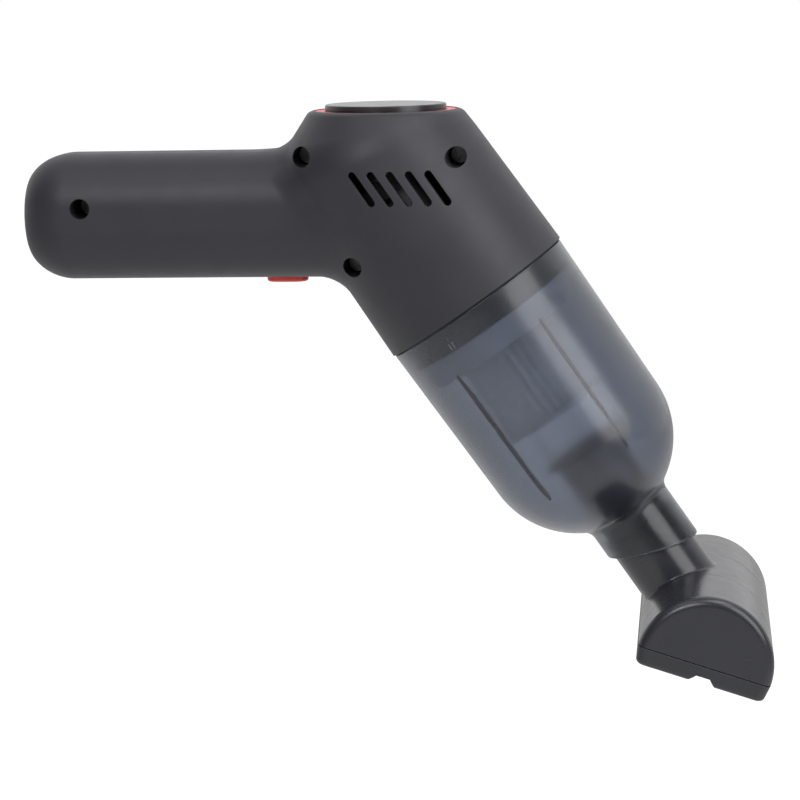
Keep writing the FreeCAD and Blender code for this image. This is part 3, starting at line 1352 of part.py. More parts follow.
# ---- all nodes ----
NODES = {
    "right_shell": shell(-1),
    "left_shell": shell(1),
    "housing_screws": housing_screws(),
    "trim_ring": trim_ring(),
    "top_disc": top_disc(),
    "disc_clip": disc_clip(),
    "power_button": power_button(),
    "switch_plunger": switch_plunger(),
    "power_switch": power_switch(),
    "switch_board": switch_board(),
    "battery_cell_right": battery_cell(-1),
    "battery_cell_left": battery_cell(1),
    "cell_frame_rear": cell_frame(CELL_REAR_X + FRAME_INSET),
    "cell_frame_front": cell_frame(CELL_REAR_X + CELL_LENGTH - FRAME_INSET - FRAME_THICKNESS),
    "cell_tab_rear": cell_tab(CELL_REAR_X - CELL_BUTTON_HEIGHT - TAB_THICKNESS),
    "cell_tab_front": cell_tab(CELL_REAR_X + CELL_LENGTH + CELL_BUTTON_HEIGHT),
    "charge_port": charge_port(),
    "charge_board": charge_board(),
    "control_board": control_board(),
    "control_parts": control_parts(),
    "coupling_ring": coupling_ring(),
    "fan_shroud": fan_shroud(),
    "impeller": impeller(),
    "motor_can": motor_can(),
    "motor_end_cap": motor_end_cap(),
    "motor_terminals": motor_terminals(),
    "motor_bushes": motor_bushes(),
    "motor_magnets": motor_magnets(),
    "motor_shaft": motor_shaft(),
    "armature": armature(),
    "commutator": commutator(),
    "motor_screws": motor_screws(),
    "motor_mount": motor_mount(),
    "cup_seal": cup_seal(),
    "dust_cup": dust_cup(),
    "inlet_tube": inlet_tube(),
    "flap_valve": flap_valve(),
    "flap_pin": pin_rod(FLAP_PIN_RADIUS),
    "filter_frame": filter_frame(),
    "filter_pleats": filter_pleats(),
    "filter_end_cap": filter_end_cap(),
    "neck_o_ring": neck_o_ring(),
    "head_shell": head_shell(),
    "head_sole": head_sole(),
    "lint_strips": lint_strips(),
    "sole_screws": sole_screws(),
}

os.makedirs("parts", exist_ok=True)
for name, shape in NODES.items():
    shape.exportStep(f"parts/{name}.step")
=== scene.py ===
import json
import math

import bmesh
import bpy
import numpy as np
import openvdb
from mathutils import Matrix, Vector


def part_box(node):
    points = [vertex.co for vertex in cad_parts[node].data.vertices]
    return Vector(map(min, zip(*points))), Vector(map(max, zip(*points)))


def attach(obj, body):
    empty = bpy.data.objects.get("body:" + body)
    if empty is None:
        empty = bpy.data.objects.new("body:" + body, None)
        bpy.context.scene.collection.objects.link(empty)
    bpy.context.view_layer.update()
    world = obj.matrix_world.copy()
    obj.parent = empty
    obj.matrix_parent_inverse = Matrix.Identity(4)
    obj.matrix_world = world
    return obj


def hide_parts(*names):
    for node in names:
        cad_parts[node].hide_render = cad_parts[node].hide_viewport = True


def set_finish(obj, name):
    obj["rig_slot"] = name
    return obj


# Handheld vacuum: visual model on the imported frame. Sizes are millimetres until a mesh is
# made; the frame is metres. Places along the barrel are (s, u): s down its axis from the
# seam between housing and cup, u across it, up and forward positive.
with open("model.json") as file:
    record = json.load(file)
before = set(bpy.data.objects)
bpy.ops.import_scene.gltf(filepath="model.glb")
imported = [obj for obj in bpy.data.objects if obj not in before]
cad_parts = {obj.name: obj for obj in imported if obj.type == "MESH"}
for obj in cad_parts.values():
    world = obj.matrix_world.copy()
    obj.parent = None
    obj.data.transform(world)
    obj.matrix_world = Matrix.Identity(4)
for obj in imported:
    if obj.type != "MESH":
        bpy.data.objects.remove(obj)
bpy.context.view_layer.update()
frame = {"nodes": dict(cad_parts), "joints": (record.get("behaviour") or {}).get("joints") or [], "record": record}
MM = 0.001
JOINTS = {j["name"]: j for j in frame["joints"]}
NODES = frame["nodes"]

# ---- places taken from the frame ----
X, Y, Z = np.eye(3)
AXIS = np.array(JOINTS["cup_turn"]["axis"])
SEAM = np.array(JOINTS["cup_turn"]["pos_m"]) / MM
OUT = np.cross(AXIS, Y)


def node_box(name):
    """A node's lowest and highest corners, in millimetres."""
    low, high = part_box(name)
    return np.array(low) / MM, np.array(high) / MM


def node_middle(name):
    """The middle of a node's box, in millimetres."""
    low, high = node_box(name)
    return (low + high) / 2


# ---- housing form ----
HOUSING_LOW, HOUSING_HIGH = node_box("right_shell")[0], node_box("left_shell")[1]
HANDLE_HALF_WIDTH = 21.0
HANDLE_HALF_HEIGHT = 20.7
HANDLE_ROUNDING = 17.0
REAR_BULGE = 50.0        # radius of the handle's rear face
REAR_ROUNDING = 10.0
HANDLE_END = 71.0        # x inside the barrel where the handle's bar stops
BARREL_RADIUS = 33.5     # at the seam
BARREL_TAPER = 0.0225    # radius gained per millimetre towards the cup
BARREL_PAST_SEAM = 3.0   # how far it is made past the seam before it is cut there
TURRET_TOP = 33.55
TURRET_RADIUS = 25.0     # at the top
TURRET_SLOPE = 54.3      # of its side, degrees from the horizontal
TURRET_LEAN = 0.0635     # how far its axis moves forward per millimetre downwards
TURRET_X = node_middle("top_disc")[0]
TURRET_ROUNDING = 3.0    # of its top edge
SHOULDER = 14.0          # radius of the round between turret and barrel
THROAT = 13.0            # radius of the blend between handle and barrel, underneath
CROWN = 9.2              # radius of the same blend on top
CROWN_RISE = 0.8         # how far the handle's top swells towards the turret
CROWN_REACH = 14.0       # where that swelling starts
CREST = 6.0              # width over which the turret's side turns into the barrel's
WALL = 2.2
PARTING = 0.12           # groove between the two halves
PARTING_DEPTH = 0.6      # from the surface down to the tongue that closes it
VENT_COUNT = 5
VENT_PITCH = 6.0
VENT_LENGTH = 13.0
VENT_WIDTH = 2.4
VENT_FIRST = (73.8, 9.95)  # x and z of the rearmost vent
VENT_DEPTH = 22.0        # y where each vent starts, inside the wall
SCREW_PLACES = [(-20.0, 3.65), (53.4, 19.65), (103.0, 19.15), (69.0, -15.85)]
SCREW_RECESS = 3.3       # radius
SCREW_GRIP = 5.0         # from the parting plane to the floor of a recess
BOSS_WALL = 1.3
SCREW_SHANK_HOLE = 1.45  # radius
SCREW_DEPTH = 10.0       # of the hole past the parting plane
BUTTON_HOLE = (14.3, 8.6)
PORT_HOLE = (9.4, 3.8)
RING_FLOOR = 32.25       # z of the seat for the red ring
RING_SEAT = 23.3         # its radius
RING_HOLE = 15.1         # radius of the hole under it
BODY_STEP = 1.0          # grid of the housing's outside
CORE_STEP = 1.6          # grid of what is hidden inside it
FAR = 60.0               # for cutting tools: past everything

# ---- cup form ----
CUP_START = 0.4
CUP_RADIUS = 33.0        # at the mouth
CUP_END_RADIUS = 31.9    # where the dome starts
CUP_STRAIGHT = 57.0      # s where the dome starts
CUP_TAPER = (CUP_RADIUS - CUP_END_RADIUS) / (CUP_STRAIGHT - CUP_START)
CUP_WALL = 1.8
CUP_LIP = 0.45           # rounding of its edges
NECK_RADIUS = 14.5
NECK_FILLET = 4.5
NECK_START = 87.0        # where the neck's painted shade starts: a darker copy of the clear plastic
NECK_END = 100.8
NECK_SLANT = 19.3        # of its mouth, degrees from square
NECK_SLANTED = 7.0       # length over which the slant grows
SOCKET_START = 90.6      # where the socket for the head's tube ends inside
SOCKET_RADIUS = 12.76
SOCKET_CHAMFER = 0.3
BORE_RADIUS = 11.73      # for the inlet tube
RIB_START, RIB_END = 15.8, 66.0
RIB_DEPTH = 1.2
RIB_WIDTH = 0.8
RIB_ANGLE = 31.0         # from the cup's side, degrees
RIB_ROOT = 0.25          # how deep it stands in the wall
RIB_RISE, RIB_FALL = 1.2, 2.5  # lengths over which its ends grow and fade
HOOK_RADIUS = 30.2
HOOK_END = 5.9
HOOK_HEIGHT = 2.0
HOOK_WIDTH = 16          # degrees
MARK_RADIUS = 29.95      # of the coupling ring that carries the lock marks
MARK_START = 6.9
MARK_PLACES = (-12.1, -10.9)  # u of each
MARK_SIZE = (0.4, 0.24, 2.2)

# ---- head form ----
HEAD_SLOPE = 17.6
HEAD_CENTRE = np.array([181.2, 0.0, -139.75])  # middle of its flat base
HEAD_WIDTH = 43.6
HEAD_HEIGHT = 22.0
HEAD_LENGTH = 96.0       # across the barrel
HEAD_ROUNDING = 3.0      # of the edge round each end
HEAD_WALL = 2.0
HEAD_TUBE = 12.7         # radius
HEAD_TUBE_ROUNDING = 0.5
HEAD_SPIGOT = 10.0       # radius of the thinner end that stands in the cup's neck
HEAD_SPIGOT_ROUNDING = 0.6
HEAD_SPIGOT_START = 76.4
HEAD_SHOULDER = 91.4     # s where the tube steps down to the spigot
HEAD_BORE = 8.4          # radius
HEAD_SADDLE = 0.7        # fillet between tube and head
HEAD_STEP = 0.7          # grid of its surface
PART_LINE = 15.2         # y of the fine joint lines on the head
PART_LINE_WIDTH = 0.14
PART_LINE_DEPTH = 0.14
GROOVE = (93.0, 95.0)    # for the O-ring
GROOVE_FLOOR = 11.6
SOLE_SCREW = (15.2, 42.5)  # along the head's width and length
SOLE_POST = 2.6          # radius
SOLE_POST_START = 2.7    # above the flat base

SIN = math.sin(math.radians(HEAD_SLOPE))
COS = math.cos(math.radians(HEAD_SLOPE))
HEAD_X = np.array([COS, 0.0, -SIN])
HEAD_Z = np.array([SIN, 0.0, COS])


def at(s, u, y=0.0):
    """The point at (s, u) of the barrel."""
    return SEAM + AXIS * s + OUT * u + Y * y


def in_barrel(p):
    """s, u and radius of points, about the barrel's axis."""
    rel = p - SEAM
    s = rel @ AXIS
    u = rel @ OUT
    return s, u, np.hypot(u, rel[:, 1])


# ---- distance fields: negative inside, zero on the surface ----
def meet(a, b, r):
    """Intersection of two fields with a rounded edge."""
    return np.minimum(np.maximum(a, b), -r) + np.hypot(np.maximum(a + r, 0), np.maximum(b + r, 0))


def join(a, b, r):
    """Union of two fields with a filled corner."""
    return np.maximum(np.minimum(a, b), r) - np.hypot(np.maximum(r - a, 0), np.maximum(r - b, 0))


def fillet(radius, n1, n2):
    """The width in field values that gives a fillet of this radius between two faces."""
    return np.maximum(radius * (1 - np.einsum("ij,ij->i", n1, n2)), 0.02)


def handle_field(p):
    """A bar along X, rounded along its edges, with a bulged rear face, and its normals."""
    y = np.maximum(np.abs(p[:, 1]) - HANDLE_HALF_WIDTH + HANDLE_ROUNDING, 0)
    z = np.maximum(np.abs(p[:, 2]) - HANDLE_HALF_HEIGHT + HANDLE_ROUNDING, 0)
    reach = np.maximum(np.hypot(y, z), 1e-6)
    section = reach - HANDLE_ROUNDING
    normal = np.stack([0 * y, np.sign(p[:, 1]) * y / reach, np.sign(p[:, 2]) * z / reach], axis=1)
    rear_x = HOUSING_LOW[0] + REAR_BULGE
    rear = np.hypot(np.minimum(p[:, 0] - rear_x, 0), np.hypot(p[:, 1], p[:, 2])) - REAR_BULGE
    rear = np.where(p[:, 0] > rear_x, -REAR_BULGE, rear)
    bar = meet(section, rear, REAR_ROUNDING)
    return np.maximum(bar, p[:, 0] - HANDLE_END), normal


def barrel_field(p):
    """The tapered barrel, trimmed by the turret's cone and top, and its normals."""
    s, u, r = in_barrel(p)
    barrel = r - (BARREL_RADIUS + BARREL_TAPER * s)
    out = (np.outer(u, OUT) + np.outer(p[:, 1], Y)) / np.maximum(r, 1e-6)[:, None]
    slope = math.radians(TURRET_SLOPE)
    drop = TURRET_TOP - p[:, 2]
    x = p[:, 0] - TURRET_X - TURRET_LEAN * drop
    turret_r = np.maximum(np.hypot(x, p[:, 1]), 1e-6)
    cone = (turret_r - TURRET_RADIUS - drop / math.tan(slope)) * math.sin(slope)
    side = np.stack([x / turret_r, p[:, 1] / turret_r, 0 * x], axis=1) * math.sin(slope)
    side[:, 2] = math.cos(slope)
    trimmed = meet(barrel, cone, fillet(SHOULDER, out, side))
    share = np.clip(0.5 + (barrel - cone) / CREST, 0, 1)[:, None]
    normal = share * out + (1 - share) * side
    normal /= np.maximum(np.linalg.norm(normal, axis=1, keepdims=True), 1e-6)
    width = fillet(TURRET_ROUNDING, normal, np.broadcast_to(Z, normal.shape))
    return meet(trimmed, -drop, width), normal


def housing_field(p):
    """Handle and barrel blended where they meet."""
    handle, n1 = handle_field(p)
    barrel, n2 = barrel_field(p)
    high = np.clip((p[:, 2] / HANDLE_HALF_HEIGHT + 1) / 2, 0, 1)
    radius = THROAT + (CROWN - THROAT) * high
    swelling = CROWN_RISE * high * np.clip(1 - barrel / CROWN_REACH, 0, 1) ** 2
    return join(handle - swelling, barrel, fillet(radius, n1, n2))


def head_field(p):
    """The head's D-shaped bar and its tube, before the flat base is cut."""
    rel = p - HEAD_CENTRE
    x = rel @ HEAD_X
    z = rel @ HEAD_Z
    curve = np.hypot(x * HEAD_HEIGHT / (HEAD_WIDTH / 2), z) - HEAD_HEIGHT
    ends = np.abs(rel[:, 1]) - HEAD_LENGTH / 2
    bar = meet(curve, ends, HEAD_ROUNDING)
    s, u, r = in_barrel(p)
    end = (HEAD_CENTRE - SEAM) @ AXIS
    pipe = meet(r - HEAD_TUBE, HEAD_SHOULDER - s, HEAD_TUBE_ROUNDING)
    pipe = np.maximum(pipe, s - end)
    spigot = meet(r - HEAD_SPIGOT, HEAD_SPIGOT_START - s, HEAD_SPIGOT_ROUNDING)
    spigot = np.maximum(spigot, s - end)
    return np.minimum(join(bar, pipe, HEAD_SADDLE), spigot)


def slope_of(field, p, step=0.02):
    """Unit gradient of a field at points."""
    g = np.stack([
        field(p + step * e) - field(p - step * e) for e in np.eye(3)
    ], axis=1) / (2 * step)
    return g / np.maximum(np.linalg.norm(g, axis=1, keepdims=True), 1e-9)


# ---- meshes ----
def new_object(name, points, faces):
    """A mesh object from points in millimetres."""
    mesh = bpy.data.meshes.new(name)
    mesh.from_pydata((np.asarray(points) * MM).tolist(), [], [list(map(int, f)) for f in faces])
    mesh.update()
    obj = bpy.data.objects.new(name, mesh)
    bpy.context.scene.collection.objects.link(obj)
    return obj


def skin(name, field, low, high, step):
    """A closed mesh of the surface where a field is zero, its points moved exactly onto it."""
    low = np.asarray(low, float)
    counts = np.ceil((np.asarray(high) - low) / step).astype(int) + 1
    axes = [low[i] + step * np.arange(counts[i]) for i in range(3)]
    values = np.empty(counts, np.float32)
    for i, x in enumerate(axes[0]):
        yy, zz = np.meshgrid(axes[1], axes[2], indexing="ij")
        p = np.stack([np.full(yy.size, x), yy.ravel(), zz.ravel()], axis=1)
        values[i] = field(p).reshape(yy.shape)
    grid = openvdb.FloatGrid(3 * step)
    grid.copyFromArray(np.clip(values, -3 * step, 3 * step))
    points, quads = grid.convertToQuads()
    points = points * step + low
    for _ in range(4):
        g = slope_of(field, points)
        points = points - g * np.clip(field(points), -step, step)[:, None]
    a, b, c = (points[quads[:, k]] for k in (0, 1, 2))
    normal = np.cross(b - a, c - a)
    facing = np.einsum("ij,ij->i", normal, slope_of(field, (a + c) / 2))
    if np.median(facing) < 0:
        quads = quads[:, ::-1]
    return new_object(name, points, quads)


def prism(name, outline, direction, length):
    """A closed bar: an outline of 3D points pushed along a direction by a length."""
    outline = np.asarray(outline, float)
    step = np.asarray(direction, float) * length
    normal = np.zeros(3)
    for p, q in zip(outline, np.roll(outline, -1, axis=0)):
        normal += np.cross(p, q)
    if normal @ step > 0:
        outline = outline[::-1]
    n = len(outline)
    points = np.vstack([outline, outline + step])
    faces = [list(range(n)), list(range(2 * n - 1, n - 1, -1))]
    faces += [[i, i + n, (i + 1) % n + n, (i + 1) % n] for i in range(n)]
    return new_object(name, points, faces)


def circle(centre, first, second, radius, count=48):
    """Points of a circle in the plane of two unit directions."""
    centre, first, second = (np.asarray(v) for v in (centre, first, second))
    turns = np.linspace(0, 2 * math.pi, count, endpoint=False)
    return [centre + radius * (math.cos(t) * first + math.sin(t) * second) for t in turns]


def slot_outline(centre, along, across, length, width, count=12):
    """Outline of a slot with round ends."""
    centre, along, across = (np.asarray(v) for v in (centre, along, across))
    r = width / 2
    points = []
    for end in (1, -1):
        middle = centre + along * end * (length / 2 - r)
        for k in range(count + 1):
            t = -math.pi / 2 + math.pi * k / count
            points.append(middle + end * r * (math.cos(t) * along + math.sin(t) * across))
    return points


def merged(name, objects):
    """Several separate closed meshes as one object."""
    bm = bmesh.new()
    for obj in objects:
        bm.from_mesh(obj.data)
    mesh = bpy.data.meshes.new(name)
    bm.to_mesh(mesh)
    bm.free()
    for obj in objects:
        bpy.data.objects.remove(obj)
    whole = bpy.data.objects.new(name, mesh)
    bpy.context.scene.collection.objects.link(whole)
    return whole


def copied(obj, name):
    """A second object with its own copy of a mesh."""
    twin = obj.copy()
    twin.data = obj.data.copy()
    twin.name = name
    bpy.context.scene.collection.objects.link(twin)
    return twin


def boolean(obj, other, operation, keep=False):
    """obj combined with another closed mesh, applied at once."""
    step = obj.modifiers.new("boolean", "BOOLEAN")
    step.operation = operation
    step.object = other
    step.solver = "MANIFOLD"
    view = bpy.context.evaluated_depsgraph_get()
    mesh = bpy.data.meshes.new_from_object(obj.evaluated_get(view))
    obj.modifiers.remove(step)
    obj.data = mesh
    if not keep:
        bpy.data.objects.remove(other)


def finish_normals(obj, field, angle=30.0, tolerance=0.05):
    """Smooth shading that follows a field exactly where the mesh lies on its surface."""
    mesh = obj.data
    mesh.shade_smooth()
    mesh.set_sharp_from_angle(angle=math.radians(angle))
    count = len(mesh.loops)
    normals = np.empty(count * 3, np.float32)
    mesh.corner_normals.foreach_get("vector", normals)
    normals = normals.reshape(-1, 3)
    loop_vertex = np.empty(count, np.int32)
    mesh.loops.foreach_get("vertex_index", loop_vertex)
    places = np.empty(len(mesh.vertices) * 3, np.float32)
    mesh.vertices.foreach_get("co", places)
    places = places.reshape(-1, 3) / MM
    sizes = np.empty(len(mesh.polygons), np.int32)
    mesh.polygons.foreach_get("loop_total", sizes)
    flat = np.empty(len(mesh.polygons) * 3, np.float32)
    mesh.polygons.foreach_get("normal", flat)
    flat = np.repeat(flat.reshape(-1, 3), sizes, axis=0)
    slope = slope_of(field, places.astype(float))
    on = np.abs(field(places.astype(float))) < tolerance
    g = slope[loop_vertex]
    use = on[loop_vertex] & (np.einsum("ij,ij->i", g, flat) > math.cos(math.radians(25)))
    normals[use] = g[use]
    mesh.normals_split_custom_set(normals.tolist())


def ring_solid(name, outline, count=192):
    """A closed outline of (s, radius) points turned about the barrel's axis."""
    turns = np.linspace(0, 2 * math.pi, count, endpoint=False)
    points = [at(s, r * math.cos(t), r * math.sin(t)) for s, r in outline for t in turns]
    rows = len(outline)
    faces = []
    for i in range(rows):
        for k in range(count):
            a, b = i * count + k, i * count + (k + 1) % count
            c, d = ((i + 1) % rows) * count + (k + 1) % count, ((i + 1) % rows) * count + k
            faces.append((a, b, c, d))
    return outward(new_object(name, points, faces))


def outward(obj):
    """A mesh with merged points and faces that look outwards."""
    bm = bmesh.new()
    bm.from_mesh(obj.data)
    bmesh.ops.remove_doubles(bm, verts=bm.verts, dist=1e-7)
    bmesh.ops.recalc_face_normals(bm, faces=bm.faces)
    bm.to_mesh(obj.data)
    bm.free()
    return obj


def block(name, centre, axes, size):
    """A box: its centre, three unit directions and its three lengths."""
    c = np.asarray(centre, float)
    x, y, z = (np.asarray(a, float) * size[i] / 2 for i, a in enumerate(axes))
    outline = [c - x - y - z, c + x - y - z, c + x + y - z, c - x + y - z]
    return prism(name, outline, axes[2], size[2])


# ---- housing ----
def along_y(name, x, z, radius, y0, y1, count=64):
    """A closed cylinder along Y."""
    return prism(name, circle((x, y0, z), X, Z, radius, count), Y, y1 - y0)


def housing_cuts():
    """Tools for the holes of the housing."""
    cuts = []
    for x, z in SCREW_PLACES:
        cuts.append(along_y("recess", x, z, SCREW_RECESS, -FAR, -SCREW_GRIP))
        cuts.append(along_y("shank_hole", x, z, SCREW_SHANK_HOLE, -SCREW_GRIP - 1, SCREW_DEPTH))
    for side in (-1, 1):
        for i in range(VENT_COUNT):
            centre = (VENT_FIRST[0] + i * VENT_PITCH, side * VENT_DEPTH, VENT_FIRST[1])
            outline = slot_outline(centre, AXIS, -OUT, VENT_LENGTH, VENT_WIDTH)
            cuts.append(prism("vent", outline, Y * side, 30.0))
    button, port = node_middle("power_button"), node_middle("charge_port")
    outline = slot_outline((button[0], 0, -30.0), X, Y, BUTTON_HOLE[0], BUTTON_HOLE[1], 24)
    cuts.append(prism("button_hole", outline, Z, 14.0))
    outline = slot_outline((HOUSING_LOW[0] - 2, 0, port[2]), Y, Z, PORT_HOLE[0], PORT_HOLE[1], 24)
    cuts.append(prism("port_hole", outline, X, 8.0))
    recess = circle((TURRET_X, 0, RING_FLOOR), X, Y, RING_SEAT, 128)
    cuts.append(prism("ring_recess", recess, Z, 10.0))
    hole = circle((TURRET_X, 0, RING_FLOOR - 8), X, Y, RING_HOLE, 96)
    cuts.append(prism("ring_hole", hole, Z, 10.0))
    return cuts


def housing():
    """Both halves of the housing, each hollow, with its holes."""
    margin = 4.0
    low, high = HOUSING_LOW - margin, HOUSING_HIGH + margin

    def to_seam(p):
        return np.maximum(housing_field(p), in_barrel(p)[0] - BARREL_PAST_SEAM)

    body = skin("body", to_seam, low, high, BODY_STEP)
    past_seam = block("past_seam", at(FAR, 0), (OUT, Y, AXIS), (160, 160, 2 * FAR))
    boolean(body, past_seam, "DIFFERENCE")
    inside = skin("inside", lambda p: housing_field(p) + WALL, low, high, CORE_STEP)
    bosses = []
    for x, z in SCREW_PLACES:
        bosses.append(along_y("boss", x, z, SCREW_RECESS + BOSS_WALL, -FAR, 0))
        bosses.append(along_y("boss", x, z, SCREW_SHANK_HOLE + 2 * BOSS_WALL, 0, FAR))
    posts = bosses[0]
    for boss in bosses[1:]:
        boolean(posts, boss, "UNION")
    boolean(posts, body, "INTERSECT", keep=True)
    boolean(body, inside, "DIFFERENCE")
    boolean(body, posts, "UNION")
    for cut in housing_cuts():
        boolean(body, cut, "DIFFERENCE")
    tongue = copied(body, "tongue")
    boolean(tongue, block("gap", (40, 0, -10), (X, Y, Z), (300, PARTING, 200)), "INTERSECT")
    core = skin("core", lambda p: housing_field(p) + PARTING_DEPTH, low, high, CORE_STEP)
    boolean(tongue, core, "INTERSECT")
    halves = []
    sides = (-1, "housing_right", "right_shell"), (1, "housing_left", "left_shell")
    for side, name, node in sides:
        half = copied(body, name)
        keep = block("keep", (40, side * (100 + PARTING / 2), -10), (X, Y, Z), (300, 200, 200))
        boolean(half, keep, "INTERSECT")
        if side < 0:
            boolean(half, tongue, "UNION")
        finish_normals(half, housing_field)
        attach(half, "housing")
        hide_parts(node)
        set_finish(half, "housing_plastic")
        halves.append(half)
    bpy.data.objects.remove(body)
    return halves


# ---- cup ----
def cup_profile():
    """The cup's wall as a closed outline of (s, radius) points, from the mouth's lip."""
    dome, neck, lip = CUP_END_RADIUS, NECK_RADIUS, CUP_LIP
    outer = []
    for k in range(7):
        t = math.radians(90 * k / 6)
        outer.append((CUP_START + lip * (1 - math.cos(t)), CUP_RADIUS - lip + lip * math.sin(t)))
    for k in range(1, 13):
        s = CUP_START + lip + (CUP_STRAIGHT - CUP_START - lip) * k / 12
        outer.append((s, CUP_RADIUS - CUP_TAPER * (s - CUP_START)))
    reach = dome + NECK_FILLET
    centre_r = neck + NECK_FILLET
    height = math.sqrt(reach ** 2 - centre_r ** 2)
    end = math.atan2(height, centre_r)
    for k in range(1, 33):
        t = end * k / 32
        outer.append((CUP_STRAIGHT + dome * math.sin(t), dome * math.cos(t)))
    for k in range(1, 13):
        t = end - end * k / 12
        outer.append((
            CUP_STRAIGHT + height - NECK_FILLET * math.sin(t),
            centre_r - NECK_FILLET * math.cos(t),
        ))
    outer.append((NECK_END - NECK_SLANTED, neck))
    for k in range(7):
        t = math.radians(90 * k / 6)
        outer.append((NECK_END - lip + lip * math.sin(t), neck - lip + lip * math.cos(t)))
    inner = [(NECK_END - SOCKET_CHAMFER, SOCKET_RADIUS + SOCKET_CHAMFER)]
    inner += [(NECK_END - 2 * SOCKET_CHAMFER, SOCKET_RADIUS)]
    inner += [(NECK_END - NECK_SLANTED, SOCKET_RADIUS)]
    inner += [(SOCKET_START, SOCKET_RADIUS), (SOCKET_START, BORE_RADIUS)]
    hollow = dome - CUP_WALL
    start = math.acos(BORE_RADIUS / hollow)
    for k in range(25):
        t = start * (1 - k / 24)
        inner.append((CUP_STRAIGHT + hollow * math.sin(t), hollow * math.cos(t)))
    for k in range(1, 13):
        s = CUP_STRAIGHT + (CUP_START + 0.3 - CUP_STRAIGHT) * k / 12
        inner.append((s, CUP_RADIUS - CUP_TAPER * (s - CUP_START) - CUP_WALL))
    inner.append((CUP_START, CUP_RADIUS - CUP_WALL + 0.3))
    return outer + inner


def wedge(name, s0, s1, r0, r1, centre, width, count=8):
    """A piece of a coaxial tube, centred at an angle from OUT towards -Y."""
    turns = [math.radians(centre + width * (k / count - 0.5)) for k in range(count + 1)]
    arc = [at(s0, r1 * math.cos(t), -r1 * math.sin(t)) for t in turns]
    arc += [at(s0, r0 * math.cos(t), -r0 * math.sin(t)) for t in reversed(turns)]
    return prism(name, arc, AXIS, s1 - s0)


def cup_rib(angle):
    """One thin rib along the inside of the cup."""
    radial = OUT * math.cos(math.radians(angle)) - Y * math.sin(math.radians(angle))
    across = np.cross(AXIS, radial)
    outer, inner = [], []
    on_tube = np.linspace(RIB_START, CUP_STRAIGHT, 6)
    on_dome = np.linspace(CUP_STRAIGHT, RIB_END, 6)[1:]
    for s in (*on_tube, *on_dome):
        past = max(s - CUP_STRAIGHT, 0)
        growth = (s - RIB_START) / RIB_RISE + 0.25
        fading = (RIB_END - s) / RIB_FALL + 0.15
        depth = RIB_DEPTH * min(1, growth, fading)
        for trim, row in ((CUP_WALL - RIB_ROOT, outer), (CUP_WALL + depth, inner)):
            r = CUP_RADIUS - CUP_TAPER * (min(s, CUP_STRAIGHT) - CUP_START) - trim
            if past:
                r = math.sqrt((CUP_END_RADIUS - trim) ** 2 - past ** 2)
            row.append(SEAM + AXIS * s + radial * r)
    outline = [p - across * RIB_WIDTH / 2 for p in outer + inner[::-1]]
    return prism("rib", outline, across, RIB_WIDTH)


def cup():
    """The clear cup: tube, dome, slanted neck, ribs and the bayonet's hooks."""
    body = ring_solid("cup", cup_profile())
    slant = math.tan(math.radians(NECK_SLANT))
    for v in body.data.vertices:
        p = np.array(v.co) / MM
        s, u, r = (float(w[0]) for w in in_barrel(p[None]))
        share = max(0, (s - (NECK_END - NECK_SLANTED)) / NECK_SLANTED)
        if share > 0 and r < NECK_RADIUS + 1:
            v.co = Vector((p + AXIS * (u * slant * share)) * MM)
    ribs = merged("cup_ribs", [
        cup_rib(side + offset) for side in (90, 270) for offset in (-RIB_ANGLE, RIB_ANGLE)
    ])
    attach(ribs, "cup")
    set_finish(ribs, "smoke_clear")
    start = HOOK_END - HOOK_HEIGHT
    for turn in (0, 120, 240):
        hook = wedge("hook", start, HOOK_END, HOOK_RADIUS, CUP_RADIUS - 1.0, turn, HOOK_WIDTH)
        boolean(body, hook, "UNION")
    body.data.shade_smooth()
    body.data.set_sharp_from_angle(angle=math.radians(28))
    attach(body, "cup")
    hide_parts("dust_cup")
    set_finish(body, "smoke_clear")
    return [body, ribs]


# ---- head ----
def half_ellipse(inset, y, start, count=64):
    """Outline of the head's section, shrunk by inset, with a foot that reaches down to start."""
    a, b = HEAD_WIDTH / 2 - inset, HEAD_HEIGHT - inset
    points = []
    for k in range(count + 1):
        t = math.pi * k / count
        points.append(HEAD_CENTRE + HEAD_X * a * math.cos(t) + HEAD_Z * b * math.sin(t) + Y * y)
    points.append(HEAD_CENTRE - HEAD_X * a + HEAD_Z * start + Y * y)
    points.append(HEAD_CENTRE + HEAD_X * a + HEAD_Z * start + Y * y)
    return points


